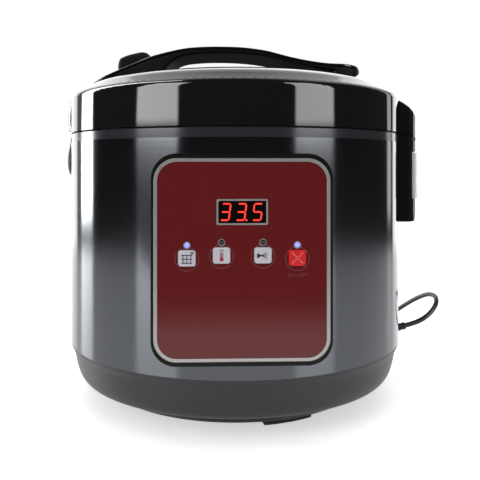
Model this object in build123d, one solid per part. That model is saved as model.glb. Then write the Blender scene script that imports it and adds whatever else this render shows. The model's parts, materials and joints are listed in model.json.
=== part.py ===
from build123d import *
import math
import os

# Chocolate tempering machine: a round heated vessel with a hinged lid, in millimetres.
# The vessel's axis is the model's own Z axis and the table is at z = 0.
# The control panel faces -Y, the lid's latch is at -X and its hinge at +X.
# row_place, further down, moves the finished pieces to the middle of the outline on the table.

# Heights of the stack, from the table up
body_radius = 140.0
foot_height = 6.3
bottom_plate_height = 9.0
bowl_height = 31.7
shell_height = 164.5
ring_height = 7.5
lid_gap = 0.4
lid_side_height = 26.8
shoulder_rise = 16.6
cover_crown = 5.2
handle_rise = 24.9

plate_underside_z = foot_height
bowl_underside_z = plate_underside_z + bottom_plate_height
shell_bottom_z = bowl_underside_z + bowl_height
ring_bottom_z = shell_bottom_z + shell_height
deck_z = ring_bottom_z + ring_height
lid_bottom_z = deck_z + lid_gap
lid_side_top_z = lid_bottom_z + lid_side_height
shoulder_top_z = lid_side_top_z + shoulder_rise
lid_top_z = shoulder_top_z + cover_crown

# Fits shared by many pieces, and a height above everything
overrun = 3.0
above_all_z = 2 * lid_top_z
arc_middle_share = math.sqrt(0.5)
fit_gap = 0.2
moving_gap = 0.4

# Base pan, bottom plate and feet
pan_wall = 2.5
pan_foot_inset = 22.0
pan_foot_radius = body_radius - pan_foot_inset
pan_opening_radius = 50.0
pan_lip_width = 2.0
pan_lip_height = 4.0
bowl_shares = ((0.064, 0.129), (0.218, 0.536), (0.59, 0.965))
plate_inset = 9.5
plate_radius = pan_foot_radius - plate_inset
plate_wall = 2.0
plate_corner = 1.5
foot_inset = 9.4
foot_outer_radius = plate_radius - foot_inset
foot_width = 14.0
foot_corner = 1.2
foot_arc = 23.0
foot_start = 22.5
feet_count = 4
vent_slot_count = 12
vent_slot_radius = 62.0
vent_slot_length = 26.0
vent_slot_width = 4.0
screw_inset = 7.1
screw_radius = foot_outer_radius - screw_inset
screw_boss_radius = 5.5
screw_shank_radius = 1.7
screw_head_radius = 3.4
screw_head_height = 2.0
screw_head_edge = 0.5
screw_depth = 9.0

# Shell, top ring and liner
shell_wall = 1.0
ring_inset = 0.4
ring_wall = 2.4
deck_thickness = 2.0
ring_edge = 1.0
ring_lip_height = 4.0
deck_width = 27.0
deck_opening_radius = body_radius - deck_width
liner_gap = 1.0
liner_radius = deck_opening_radius - liner_gap
liner_wall = 1.0
liner_drop = 6.0
liner_hole_gap = 4.0
liner_flange = 4.0

# Pot and heating
pot_gap = 4.0
pot_radius = liner_radius - pot_gap
pot_wall = 2.0
pot_depth = 133.0
pot_corner = 20.0
pot_rim_width = 9.0
pot_rim_thickness = 1.5
pot_underside_z = deck_z - pot_depth - pot_wall
heating_plate_inset = 24.0
heating_plate_radius = pot_radius - heating_plate_inset
heating_plate_thickness = 14.0
heating_plate_bevel = 2.0
plate_hole_radius = 15.0
element_ring_share = 0.619048
element_ring_radius = heating_plate_radius * element_ring_share
element_radius = 4.0
post_radius = 4.0
post_inset = 14.0
post_circle_radius = heating_plate_radius - post_inset
post_count = 3
post_start = 30.0
band_thickness = 1.6
band_rise = 28.0
band_low_z = pot_underside_z + band_rise
band_height = 46.0
heating_underside_z = pot_underside_z - heating_plate_thickness
liner_bottom_z = heating_underside_z - liner_drop
liner_hole_radius = heating_plate_radius + liner_hole_gap

# Pot sensor
sensor_gap = 0.3
capsule_radius = plate_hole_radius - moving_gap
capsule_wall = 1.8
capsule_height = 12.5
holder_wall = 2.0
holder_depth = 16.0
holder_flange = 6.0
sensor_spring_radius = 9.0
sensor_wire = 1.0
sensor_spring_turns = 5

# Power board on the pan's floor
power_board_length = 70.0
power_board_width = 36.0
power_board_inset = 36.0
power_board_reach = pan_foot_radius - power_board_inset
board_thickness = 1.6
power_post_height = 6.0
power_post_radius = 3.0
transformer_length = 26.0
transformer_width = 22.0
transformer_height = 18.0
relay_length = 18.0
relay_width = 12.0
relay_height = 14.0

# Control panel, as distances out from the vessel's axis
panel_centre_drop = 0.45
panel_centre_z = shell_bottom_z + shell_height / 2 - panel_centre_drop
panel_width = 122.8
panel_end_margin = 10.8
panel_height = shell_height - 2 * panel_end_margin
panel_corner = 17.0
panel_proud = 2.8
panel_reach = body_radius + panel_proud
tray_depth = 24.8
tray_back_reach = panel_reach - tray_depth
tray_floor = 2.0
rim_side = 2.0
rim_end = 3.2
rim_corner_step = 1.5
frame_width = panel_width - 2 * rim_side
frame_height = panel_height - 2 * rim_end
frame_corner = panel_corner - rim_corner_step
frame_side = 2.55
frame_end = 2.45
frame_corner_step = 2.5
face_width = frame_width - 2 * frame_side
face_height = frame_height - 2 * frame_end
face_corner = frame_corner - frame_corner_step
face_thickness = 3.0
face_inset = 0.6
rim_inset = 0.8
ledge_width = 5.0
face_front_reach = panel_reach - face_inset
face_back_reach = face_front_reach - face_thickness
rim_reach = panel_reach - rim_inset
board_standoff = 4.0
board_side = 6.85
board_end = 7.8
board_width = face_width - 2 * board_side
board_height = face_height - 2 * board_end
board_corner = 8.0
standoff_radius = 3.0
board_back_reach = tray_back_reach + tray_floor + board_standoff
board_front_reach = board_back_reach + board_thickness

# Display
window_width = 34.6
window_height = 17.4
window_rise = 32.2
window_corner = 1.2
window_frame = 1.2
window_proud = 0.3
lens_thickness = 2.0
module_gap = 0.1

# Buttons and their lamps
outer_column = 37.1
inner_column = 13.9
outer_button_rise = 1.3
inner_button_rise = 3.1
lamp_spacing = 8.7
button_width = 11.7
button_height = 10.9
button_corner = 2.0
button_proud = 0.7
button_edge = 0.4
button_travel = 0.8
button_flange = 1.5
button_flange_thickness = 1.2
button_stem_radius = 2.2
switch_size = 6.0
switch_height = 4.3
plunger_radius = 1.75
plunger_height = 1.5
switch_gap = 0.15
lamp_radius = 1.7
lamp_ring_radius = 2.4
lamp_ring_proud = 0.4

# Lid shell, top cover and what they carry
lid_wall = 2.5
cover_inset = 31.6
cover_radius = body_radius - cover_inset
cover_groove = 1.6
cover_edge_height = 3.2
cover_wall = 2.5
cover_ledge_width = 8.0
shoulder_shares = ((0.207, 0.41), (0.523, 0.741))
shoulder_end_slope = 0.22
inner_shoulder_shares = ((0.36, 0.49), (0.87, 0.945))
inner_shoulder_run = 16.5
inner_shoulder_rise = 10.5
cover_shares = ((0.922, 0.36), (0.646, 0.875))
lid_liner_rise = 7.6
lid_liner_z = lid_bottom_z + lid_liner_rise
lid_liner_thickness = 2.0
inner_plate_inset = 11.0
inner_plate_radius = deck_opening_radius - inner_plate_inset
inner_plate_thickness = 1.4
inner_plate_drop = 3.0
inner_plate_boss_radius = 8.0
gasket_overlap = 3.0
gasket_outer_radius = deck_opening_radius + gasket_overlap
gasket_width = 9.0
gasket_groove = 2.5
gasket_gap = 0.3
lid_screw_inset = 18.0
lid_screw_radius = body_radius - lid_screw_inset
lid_boss_radius = 5.0
lid_boss_count = 3

# Steam vent beside the handle
vent_inset = 28.46878
vent_turn = 46.52077
vent_x = (cover_radius - vent_inset) * math.cos(math.radians(vent_turn))
vent_y = (cover_radius - vent_inset) * math.sin(math.radians(vent_turn))
vent_radius = 11.0
vent_wall = 1.6
vent_flange = 3.0
vent_cap_radius = 15.0
vent_cap_height = 3.4
vent_cap_rise = 0.4
vent_cap_edge = 1.1
vent_cap_holes = 6
vent_cap_hole_radius = 1.3
vent_seat_depth = 16.0

# Hinge at +X
hinge_offset = 12.0
hinge_drop = 3.8
hinge_x = body_radius + hinge_offset
hinge_z = deck_z - hinge_drop
barrel_radius = 7.2
barrel_half_length = 9.0
ear_half_width = 21.6
knuckle_gap = 0.4
swing_gap = 0.4
pin_radius = 2.0
pin_running_gap = 0.05
pin_end = 1.0
housing_half_width = 31.0
housing_corner_proud = 5.6
housing_cover = 0.3
housing_tongue = 12.0
housing_corner_reach = body_radius + housing_corner_proud
housing_reach = hinge_x + barrel_radius + housing_cover
housing_inner_reach = body_radius - housing_tongue
block_height = 74.0
block_bottom_draw = 6.5
block_bulge_rise = 19.0
block_bulge_draw = 1.3
block_bottom_z = deck_z - block_height
block_bottom_reach = housing_reach - block_bottom_draw
block_bulge_z = block_bottom_z + block_bulge_rise
block_bulge_reach = housing_reach - block_bulge_draw
block_top_gap = 0.6
cheek_gap = 0.2
hinge_cover_height = 30.6
hinge_cover_face_height = 16.6
hinge_cover_draw = 10.5
hinge_cover_top_z = lid_bottom_z + hinge_cover_height
hinge_cover_face_z = lid_bottom_z + hinge_cover_face_height
hinge_cover_top_reach = housing_reach - hinge_cover_draw
hinge_spring_turns = 5
hinge_spring_wire = 1.0
hinge_spring_radius = 3.0
hinge_spring_half_length = 5.0
hinge_spring_gap = 0.4
ear_root_share = 0.28

# Dew cup in the hinge block
cup_rise = 19.6
cup_height = 39.1
cup_low_z = block_bottom_z + cup_rise
cup_high_z = cup_low_z + cup_height
cup_half_width = 26.0
cup_back_gap = 4.0
cup_back_reach = body_radius + cup_back_gap
cup_proud = 1.2
cup_wall = 1.4
pocket_gap = 0.4
drain_width = 4.0
drain_length = 20.0

# Latch at -X, with its button on the handle's front slope
latch_half_width = 20.0
latch_corner_drop = 3.0
latch_proud = 6.3
lid_trim_rise = 2.6
lid_trim_height = 28.0
lid_trim_low_z = lid_bottom_z + lid_trim_rise
lid_trim_high_z = lid_trim_low_z + lid_trim_height
lid_trim_low_reach = 5.4
lid_trim_round = 4.0
keeper_drop = 2.0
keeper_height = 34.0
keeper_high_z = deck_z - keeper_drop
keeper_low_z = keeper_high_z - keeper_height
keeper_shares = ((1.0, 0.16), (0.65, 0.48), (0.29, 1.0), (0.09, 0.83), (0.0, 0.3))
hook_inset = 8.5
hook_rise = 18.6
hook_pivot_x = hook_inset - body_radius
hook_pivot_z = lid_bottom_z + hook_rise
hook_half_width = 7.0
hook_thickness = 3.0
hook_hub_radius = 3.6
hook_drop = 25.5
hook_nose_length = 3.2
hook_nose_height = 2.5
catch_gap = 0.3
slot_back_gap = 3.2
arm_height = 2.6
lug_thickness = 2.8
latch_pin_radius = 1.5
lug_radius = 3.6

# Handle, as shares of the body's radius along x and of the handle's rise above the lid
handle_top_shares = (
    (-0.898, -0.28), (-0.779, 0.107), (-0.723, 0.36), (-0.502, 0.657), (-0.287, 0.944),
    (-0.07, 1.0), (0.183, 0.888), (0.337, 0.69), (0.459, 0.545), (0.568, 0.472), (0.683, 0.422),
    (0.755, 0.36),
)
handle_under_shares = (
    (0.6, 0.2), (0.459, 0.29), (0.337, 0.43), (0.183, 0.635), (0.0, 0.742), (-0.174, 0.745),
    (-0.28, 0.66), (-0.37, 0.46), (-0.42, 0.2), (-0.44, -0.1),
)
handle_plan_shares = (
    (-0.898, 0.1), (-0.86, 0.15), (-0.6, 0.186), (-0.2, 0.2145), (0.15, 0.2145), (0.5, 0.19),
    (0.715, 0.158), (0.755, 0.1),
)
handle_skin = 3.2
handle_seat_gap = 0.1
handle_tip_thickness = 4.8
pedestal_reach_share = 0.72

# Release button in the handle's front slope
release_front_inset = 9.4
release_length = 24.4
release_front_x = release_front_inset - cover_radius
release_rear_x = release_front_x + release_length
release_half_width = 11.0
release_corner = 4.0
release_gap = 0.4
release_travel = 4.0
release_skirt_gap = 1.0
release_skirt_z = lid_top_z + release_travel + release_skirt_gap
release_top_shares = ((0.0, 0.36), (0.12, 0.5), (0.62, 0.94), (0.8, 1.0), (0.95, 0.94), (1.0, 0.7))
release_height = 17.0
release_wall = 2.0
release_stem_setback = 8.0
release_stem_x = release_front_x + release_stem_setback
release_stem_radius = 2.5
stem_clearance = 0.3
release_ceiling_rise = 5.0
release_ceiling_z = release_skirt_z + release_ceiling_rise
release_spring_radius = 3.8
release_wire = 0.8
release_spring_turns = 4
release_spring_seat_depth = 1.2
release_spring_low_z = lid_top_z - release_spring_seat_depth

# Mains lead: the gland's place and lean, the lead's thickness and the put-away coil
cord_radius = 2.2
cord_length = 1200.0
gland_length = 19.0
gland_inside = 6.0
gland_root_radius = 4.6
gland_tip_radius = 3.2
gland_collar_radius = 6.4
gland_collar_length = 2.4
gland_tip_length = 2.0
coil_turns_wide = 3
coil_turns_high = 2
coil_tail = 24.0
coil_edge_share = 0.9
cord_arc_share = 0.45
plug_length = 36.0
plug_width = 35.0
plug_thickness = 13.7
plug_neck_tip_radius = 3.1
plug_neck_radius = 5.0
plug_neck_length = 9.0
plug_corner = 9.0
plug_edge = 3.0
pin_spacing = 19.0
plug_pin_radius = 2.0
plug_pin_length = 19.0
plug_pin_edge = 0.6

# The lead's route from the gland's tip to the coil, chosen by hand: how far out from the body's side,
# how far back and how high
cord_points = (
    (16.5, 19.4, 45.6),
    (28.5, 20.8, 48.0),
    (40.5, 23.0, 54.5),
    (50.0, 30.5, 62.5),
    (54.0, 43.5, 67.8),
    (52.0, 59.0, 67.5),
    (45.5, 76.5, 60.0),
    (36.0, 96.5, 47.0),
    (25.5, 117.0, 31.5),
    (14.0, 136.5, 16.5),
    (0.5, 152.5, 6.8),
    (-17.0, 162.5, 3.0),
    (-37.0, 166.3, 2.4),
    (-56.0, 165.4, 2.2),
    (-71.0, 165.0, 2.2),
)
cord_route = tuple((body_radius + out, back, height) for out, back, height in cord_points)

# The row's origin: under the middle of the outline, which the handle, hinge, latch and panel set
cup_reach = housing_reach + cup_proud
face_reach = panel_reach - face_inset + button_proud
row_place = Location(((body_radius + latch_proud - cup_reach) / 2, (face_reach - body_radius) / 2, 0))


def cylinder(radius, low, high):
    """An upright cylinder on the vessel's axis between two heights."""
    return Pos(0, 0, low) * Cylinder(radius, high - low, align=(Align.CENTER, Align.CENTER, Align.MIN))


def tube(outer, inner, low, high):
    """An upright tube on the vessel's axis between two heights."""
    return cylinder(outer, low, high) - cylinder(inner, low - overrun, high + overrun)


def turned(*curves):
    """A solid turned about the vessel's axis from a closed outline of (radius, height) curves."""
    edges = [edge for curve in curves for edge in curve.edges()]
    return revolve(Plane.XZ * make_face(edges), Axis.Z)


def side_slab(curves, half_width):
    """A closed outline in the XZ plane, made as wide as 2 half_width across Y."""
    edges = [edge for curve in curves for edge in curve.edges()]
    return extrude(Plane.XZ * make_face(edges), amount=half_width, both=True)


def block(x_low, x_high, y_low, y_high, z_low, z_high):
    """A plain box between two corners."""
    size = Box(x_high - x_low, y_high - y_low, z_high - z_low)
    return Pos((x_low + x_high) / 2, (y_low + y_high) / 2, (z_low + z_high) / 2) * size


def around(count, start, radius, piece):
    """Copies of a piece, moved out to a radius and spaced evenly about the vessel's axis."""
    turns = [Rot(0, 0, start + 360 * index / count) for index in range(count)]
    return [turn * Pos(radius, 0, 0) * piece for turn in turns]


def bulge_plan(half_width, corner_reach, middle_reach, inner_reach):
    """The plan of a housing on the side of the body: straight sides and a bowed outer face."""
    bow = ThreePointArc((corner_reach, -half_width), (middle_reach, 0), (corner_reach, half_width))
    rest = Polyline(
        (corner_reach, half_width), (inner_reach, half_width), (inner_reach, -half_width),
        (corner_reach, -half_width),
    )
    return make_face([*bow.edges(), *rest.edges()])


def upright(plan, low, high):
    """A plan shape carried up between two heights."""
    return extrude(Pos(0, 0, low) * plan, amount=high - low)


def cross_pin(x, z, radius, half_length):
    """A pin across Y through a point of the XZ plane."""
    return Pos(x, 0, z) * Rot(90, 0, 0) * Cylinder(radius, half_length * 2)


def coil_spring(x, y, low, high, radius, wire, turns):
    """An upright round-wire compression spring between two heights."""
    start_z = low + wire / 2
    height = high - low - wire
    path = Pos(x, y, start_z) * Helix(height / turns, height, radius)
    return sweep(Plane(path @ 0, z_dir=path % 0) * Circle(wire / 2), path=path)


def panel_slab(shape, back, front):
    """A panel outline carried from one distance out from the axis to another."""
    level = Plane(origin=(0, -back, panel_centre_z), x_dir=(1, 0, 0), z_dir=(0, -1, 0))
    return extrude(level * shape, amount=front - back)


# Outer curves of the lid, which its shell, cover, handle and trims share

def shoulder_curve():
    """The lid's shoulder from its upright side to the edge of the top cover's groove."""
    groove_radius = cover_radius + cover_groove
    run = body_radius - groove_radius
    points = [(body_radius, lid_side_top_z)]
    points += [(body_radius - run * a, lid_side_top_z + shoulder_rise * b) for a, b in shoulder_shares]
    points.append((groove_radius, shoulder_top_z))
    return Spline(*points, tangents=[(0, 1), (-1, shoulder_end_slope)])


def cover_curve():
    """The top cover's crown from its edge to the vessel's axis."""
    points = [(cover_radius, shoulder_top_z)]
    points += [(cover_radius * a, shoulder_top_z + cover_crown * b) for a, b in cover_shares]
    points.append((0, lid_top_z))
    return Spline(*points, tangents=[(-1, shoulder_end_slope), (-1, 0)])


def lid_form():
    """The lid's whole outer form, used to seat what stands on it."""
    side = Polyline(
        (0, lid_top_z), (0, lid_bottom_z), (body_radius, lid_bottom_z), (body_radius, lid_side_top_z)
    )
    bridge = Line((cover_radius + cover_groove, shoulder_top_z), (cover_radius, shoulder_top_z))
    return turned(side, shoulder_curve(), bridge, cover_curve())


def body_form():
    """The body's whole outer form below the deck."""
    side = Polyline((0, bowl_underside_z), (0, deck_z), (body_radius, deck_z), (body_radius, shell_bottom_z))
    return turned(side, bowl_curve(0), Line((pan_foot_radius, bowl_underside_z), (0, bowl_underside_z)))


def bowl_curve(inset):
    """The bowl's outer curve, or its inner one moved in by a wall."""
    run = body_radius - pan_foot_radius
    points = [(body_radius - inset, shell_bottom_z)]
    points += [
        (body_radius - run * a - inset * (1 - b), shell_bottom_z - bowl_height * b + inset * b)
        for a, b in bowl_shares
    ]
    points.append((pan_foot_radius, bowl_underside_z + inset))
    return Spline(*points, tangents=[(0, -1), (-1, 0)])


# Base

def base_pan():
    """Moulded bowl that carries the shell, the posts and the power board."""
    lip_outer = body_radius - shell_wall - fit_gap
    lip_inner = lip_outer - pan_lip_width
    inner_start = body_radius - pan_wall
    lip_top = shell_bottom_z + pan_lip_height
    pan = turned(
        bowl_curve(0),
        Polyline(
            (pan_foot_radius, bowl_underside_z), (pan_opening_radius, bowl_underside_z),
            (pan_opening_radius, bowl_underside_z + pan_wall), (pan_foot_radius, bowl_underside_z + pan_wall),
        ),
        bowl_curve(pan_wall),
        Polyline((inner_start, shell_bottom_z), (body_radius, shell_bottom_z)),
    )
    pan += tube(lip_outer, lip_inner, shell_bottom_z - pan_wall, lip_top) - pan
    floor_z = bowl_underside_z + pan_wall
    posts = [
        Pos(x, power_board_reach + y, floor_z)
        * Cylinder(power_post_radius, power_post_height, align=(Align.CENTER, Align.CENTER, Align.MIN))
        for x, y in power_post_places()
    ]
    boss_low = plate_underside_z + plate_wall
    boss = Pos(0, 0, floor_z) * Cylinder(
        screw_boss_radius, screw_depth - bottom_plate_height + plate_wall + overrun,
        align=(Align.CENTER, Align.CENTER, Align.MIN),
    )
    bosses = around(feet_count, foot_start + 180 / feet_count, screw_radius, boss)
    shank = cylinder(screw_shank_radius, boss_low - overrun, plate_underside_z + plate_wall + screw_depth)
    holes = around(feet_count, foot_start + 180 / feet_count, screw_radius, shank)
    pan = pan + posts + bosses - holes
    return pan - gland_stub()


def power_post_places():
    """The power board's four fixing points about its middle."""
    half_length = power_board_length / 2 - power_post_radius
    half_width = power_board_width / 2 - power_post_radius
    return [(x, y) for x in (-half_length, half_length) for y in (-half_width, half_width)]


def bottom_plate():
    """Shallow vented cover screwed under the pan."""
    outer = cylinder(plate_radius, plate_underside_z, bowl_underside_z)
    outer = chamfer(outer.edges().group_by(Axis.Z)[0], plate_corner)
    hollow = cylinder(plate_radius - plate_wall, plate_underside_z + plate_wall, bowl_underside_z + overrun)
    slot_shape = SlotOverall(vent_slot_length, vent_slot_width)
    slot = extrude(Pos(0, 0, plate_underside_z - overrun) * slot_shape, amount=plate_wall + 2 * overrun)
    boss = Pos(0, 0, plate_underside_z + plate_wall) * Cylinder(
        screw_boss_radius, bottom_plate_height - plate_wall, align=(Align.CENTER, Align.CENTER, Align.MIN)
    )
    head_top_z = plate_underside_z + screw_head_height
    head_room = cylinder(screw_head_radius + fit_gap, plate_underside_z - overrun, head_top_z)
    shank = cylinder(screw_shank_radius, plate_underside_z, bowl_underside_z + overrun)
    plate = outer - hollow
    plate -= around(vent_slot_count, 0, vent_slot_radius, slot)
    plate += around(feet_count, foot_start + 180 / feet_count, screw_radius, boss)
    plate -= around(feet_count, foot_start + 180 / feet_count, screw_radius, head_room)
    plate -= around(feet_count, foot_start + 180 / feet_count, screw_radius, shank)
    return plate


def feet():
    """Four curved rubber pads."""
    inner = foot_outer_radius - foot_width
    outline = Polyline(
        (inner + foot_corner, 0), (foot_outer_radius - foot_corner, 0), (foot_outer_radius, foot_corner),
        (foot_outer_radius, foot_height), (inner, foot_height), (inner, foot_corner), close=True,
    )
    section = Plane.XZ * make_face(outline.edges())
    pad = revolve(section, Axis.Z, revolution_arc=foot_arc)
    return Compound(around(feet_count, foot_start - foot_arc / 2, 0, pad))


def base_screws():
    """Four screws that hold the bottom plate to the pan."""
    head = cylinder(screw_head_radius, plate_underside_z, plate_underside_z + screw_head_height)
    head = chamfer(head.edges().group_by(Axis.Z)[0], screw_head_edge)
    tip_z = plate_underside_z + plate_wall + screw_depth
    screw = head + cylinder(screw_shank_radius, plate_underside_z + screw_head_height / 2, tip_z)
    return Compound(around(feet_count, foot_start + 180 / feet_count, screw_radius, screw))


# Body

def outer_shell():
    """Brushed sheet-metal wall with the panel's opening in front."""
    wall = tube(body_radius, body_radius - shell_wall, shell_bottom_z, ring_bottom_z)
    outline = RectangleRounded(panel_width + 2 * fit_gap, panel_height + 2 * fit_gap, panel_corner + fit_gap)
    return wall - panel_slab(outline, tray_back_reach - overrun, panel_reach + overrun)


def top_ring():
    """Rim and deck above the shell, which the pot and the liner hang from."""
    outer = body_radius - ring_inset
    inner = outer - ring_wall
    lip_outer = body_radius - shell_wall - fit_gap
    ring = turned(
        Polyline(
            (lip_outer, ring_bottom_z), (outer, ring_bottom_z), (outer, deck_z - ring_edge),
            (outer - ring_edge, deck_z), (deck_opening_radius, deck_z),
            (deck_opening_radius, deck_z - deck_thickness), (inner, deck_z - deck_thickness),
            (inner, ring_bottom_z - ring_lip_height), (lip_outer, ring_bottom_z - ring_lip_height),
            close=True,
        )
    )
    return ring - latch_slot(deck_z - deck_thickness - overrun, deck_z + overrun)


def latch_slot(low, high):
    """The way through for the latch hook."""
    catch_x = hook_pivot_x + hook_thickness / 2 + hook_nose_length + catch_gap
    back_x = hook_pivot_x - hook_thickness / 2 - slot_back_gap
    half_width = hook_half_width + 2 * moving_gap
    return block(back_x, catch_x, -half_width, half_width, low, high)


def inner_liner():
    """Thin aluminium can round the pot."""
    flange_z = deck_z - deck_thickness
    outer = liner_radius + liner_wall
    return turned(
        Polyline(
            (liner_hole_radius, liner_bottom_z), (outer, liner_bottom_z), (outer, flange_z - liner_wall),
            (outer + liner_flange, flange_z - liner_wall), (outer + liner_flange, flange_z),
            (liner_radius, flange_z), (liner_radius, liner_bottom_z + liner_wall),
            (liner_hole_radius, liner_bottom_z + liner_wall), close=True,
        )
    )


def heater_band():
    """Keep-warm heater wrapped round the liner."""
    inner = liner_radius + liner_wall
    return tube(inner + band_thickness, inner, band_low_z, band_low_z + band_height)


def heating_plate():
    """Cast plate under the pot, grooved for its element and bored for the sensor."""
    plate = cylinder(heating_plate_radius, heating_underside_z, pot_underside_z)
    plate = chamfer(plate.edges().group_by(Axis.Z)[-1], heating_plate_bevel)
    plate -= cylinder(plate_hole_radius, heating_underside_z - overrun, pot_underside_z + overrun)
    return plate - heating_element()


def heating_element():
    """Sheathed element pressed half into the plate's underside."""
    return Pos(0, 0, heating_underside_z) * Torus(element_ring_radius, element_radius)


def plate_posts():
    """Posts that carry the heating plate above the pan's floor."""
    foot_z = bowl_underside_z + pan_wall
    post = cylinder(post_radius, foot_z, heating_underside_z)
    return Compound(around(post_count, post_start, post_circle_radius, post))


def inner_pot():
    """Removable bowl for the chocolate, hung by its rolled rim."""
    outer = pot_radius + pot_wall
    rim_top = deck_z + pot_rim_thickness
    floor_top = pot_underside_z + pot_wall
    corner_x = outer - pot_corner
    corner_z = pot_underside_z + pot_corner
    outer_arc = pot_corner * arc_middle_share
    inner_arc = (pot_corner - pot_wall) * arc_middle_share
    outline = [
        Line((0, pot_underside_z), (corner_x, pot_underside_z)),
        ThreePointArc(
            (corner_x, pot_underside_z), (corner_x + outer_arc, corner_z - outer_arc), (outer, corner_z),
        ),
        Polyline(
            (outer, corner_z), (outer, deck_z), (outer + pot_rim_width, deck_z),
            (outer + pot_rim_width, rim_top), (pot_radius, rim_top), (pot_radius, corner_z),
        ),
        ThreePointArc(
            (pot_radius, corner_z), (corner_x + inner_arc, corner_z - inner_arc), (corner_x, floor_top),
        ),
        Polyline((corner_x, floor_top), (0, floor_top), (0, pot_underside_z)),
    ]
    return turned(*outline)


# Pot sensor

def sensor_capsule():
    """Sprung cup that feels the pot's temperature."""
    top = pot_underside_z - sensor_gap
    cup = cylinder(capsule_radius, top - capsule_height, top)
    cup = chamfer(cup.edges().group_by(Axis.Z)[-1], capsule_wall / 2)
    return cup - cylinder(capsule_radius - capsule_wall, top - capsule_height - overrun, top - capsule_wall)


def sensor_holder():
    """Guide cup under the heating plate that the sensor's spring stands in."""
    floor_z = heating_underside_z - holder_depth
    outer = plate_hole_radius + holder_wall
    cup = cylinder(outer, floor_z, heating_underside_z)
    cup -= cylinder(plate_hole_radius, floor_z + holder_wall, heating_underside_z + overrun)
    return cup + tube(outer + holder_flange, outer, heating_underside_z - holder_wall, heating_underside_z)


def sensor_spring():
    """Spring that presses the sensor up against the pot."""
    low = heating_underside_z - holder_depth + holder_wall
    high = pot_underside_z - sensor_gap - capsule_wall
    return coil_spring(0, 0, low, high, sensor_spring_radius, sensor_wire, sensor_spring_turns)


def power_board():
    """Mains board with its transformer and relay."""
    low = bowl_underside_z + pan_wall + power_post_height
    half_length = power_board_length / 2
    half_width = power_board_width / 2
    top = low + board_thickness
    near_y = power_board_reach - half_width
    far_y = power_board_reach + half_width
    board = block(-half_length, half_length, near_y, far_y, low, top)
    transformer = Pos(-half_length + transformer_length, power_board_reach, top) * Box(
        transformer_length, transformer_width, transformer_height, align=(Align.MAX, Align.CENTER, Align.MIN)
    )
    relay = Pos(half_length - relay_length, power_board_reach, top) * Box(
        relay_length, relay_width, relay_height, align=(Align.MIN, Align.CENTER, Align.MIN)
    )
    return board + transformer + relay


# Control panel

def panel_housing():
    """Gloss tray through the shell that holds everything on the panel."""
    outer = RectangleRounded(panel_width, panel_height, panel_corner)
    recess = RectangleRounded(frame_width + fit_gap, frame_height + fit_gap, frame_corner)
    inside = RectangleRounded(
        face_width - 2 * ledge_width, face_height - 2 * ledge_width, face_corner - ledge_width / 2
    )
    tray = panel_slab(outer, tray_back_reach, rim_reach)
    tray = chamfer(tray.faces().sort_by(Axis.Y)[0].edges(), rim_inset / 2)
    tray -= panel_slab(recess, face_back_reach, panel_reach + overrun)
    tray -= panel_slab(inside, tray_back_reach + tray_floor, face_back_reach + overrun)
    half_width = board_width / 2 - standoff_radius
    half_height = board_height / 2 - standoff_radius
    corners = [(x, z) for x in (-half_width, half_width) for z in (-half_height, half_height)]
    standoffs = [
        panel_slab(Pos(x, z) * Circle(standoff_radius), tray_back_reach + tray_floor, board_back_reach)
        for x, z in corners
    ]
    return tray + standoffs


def panel_frame():
    """Bright trim round the face plate."""
    outer = RectangleRounded(frame_width, frame_height, frame_corner)
    inner = RectangleRounded(face_width + fit_gap, face_height + fit_gap, face_corner)
    ring = panel_slab(outer, face_back_reach, panel_reach) - panel_slab(
        inner, face_back_reach - overrun, panel_reach + overrun
    )
    return chamfer(ring.faces().sort_by(Axis.Y)[0].outer_wire().edges(), face_inset / 2)


def button_places():
    """Name and place of each button, from the panel's middle."""
    return (
        ("button_milk", -outer_column, outer_button_rise),
        ("button_temperature", -inner_column, inner_button_rise),
        ("button_manual", inner_column, inner_button_rise),
        ("button_power", outer_column, outer_button_rise),
    )


def lamp_places():
    """Place of each lamp, above its button."""
    return [(x, z + lamp_spacing) for name, x, z in button_places()]


def panel_face():
    """Printed face plate with the window, lamp and button openings."""
    outline = RectangleRounded(face_width, face_height, face_corner)
    face = panel_slab(outline, face_back_reach, face_front_reach)
    window = RectangleRounded(window_width + fit_gap, window_height + fit_gap, window_corner)
    hole = RectangleRounded(button_width + 2 * moving_gap, button_height + 2 * moving_gap, button_corner)
    back = face_back_reach - overrun
    front = face_front_reach + overrun
    face -= panel_slab(Pos(0, window_rise) * window, back, front)
    face -= [panel_slab(Pos(x, z) * hole, back, front) for name, x, z in button_places()]
    face -= [panel_slab(Pos(x, z) * Circle(lamp_ring_radius), back, front) for x, z in lamp_places()]
    return face


def display_frame():
    """Thin surround of the display's window."""
    outer = RectangleRounded(window_width, window_height, window_corner)
    inner = RectangleRounded(
        window_width - 2 * window_frame, window_height - 2 * window_frame, window_corner / 2
    )
    front = face_front_reach + window_proud
    ring = panel_slab(Pos(0, window_rise) * outer, face_back_reach, front)
    return ring - panel_slab(Pos(0, window_rise) * inner, face_back_reach - overrun, front + overrun)


def display_lens():
    """Dark window over the digits."""
    shape = RectangleRounded(
        window_width - 2 * window_frame, window_height - 2 * window_frame, window_corner / 2
    )
    return panel_slab(Pos(0, window_rise) * shape, face_front_reach - lens_thickness, face_front_reach)


def display_module():
    """Three-digit display block that stands on the control board."""
    front = face_front_reach - lens_thickness - module_gap
    width = window_width - 2 * window_frame - 2 * fit_gap
    height = window_height - 2 * window_frame - 2 * fit_gap
    return panel_slab(Pos(0, window_rise) * Rectangle(width, height), board_front_reach, front)


def control_board():
    """Circuit board behind the face plate."""
    shape = RectangleRounded(board_width, board_height, board_corner)
    return panel_slab(shape, board_back_reach, board_front_reach)


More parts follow.
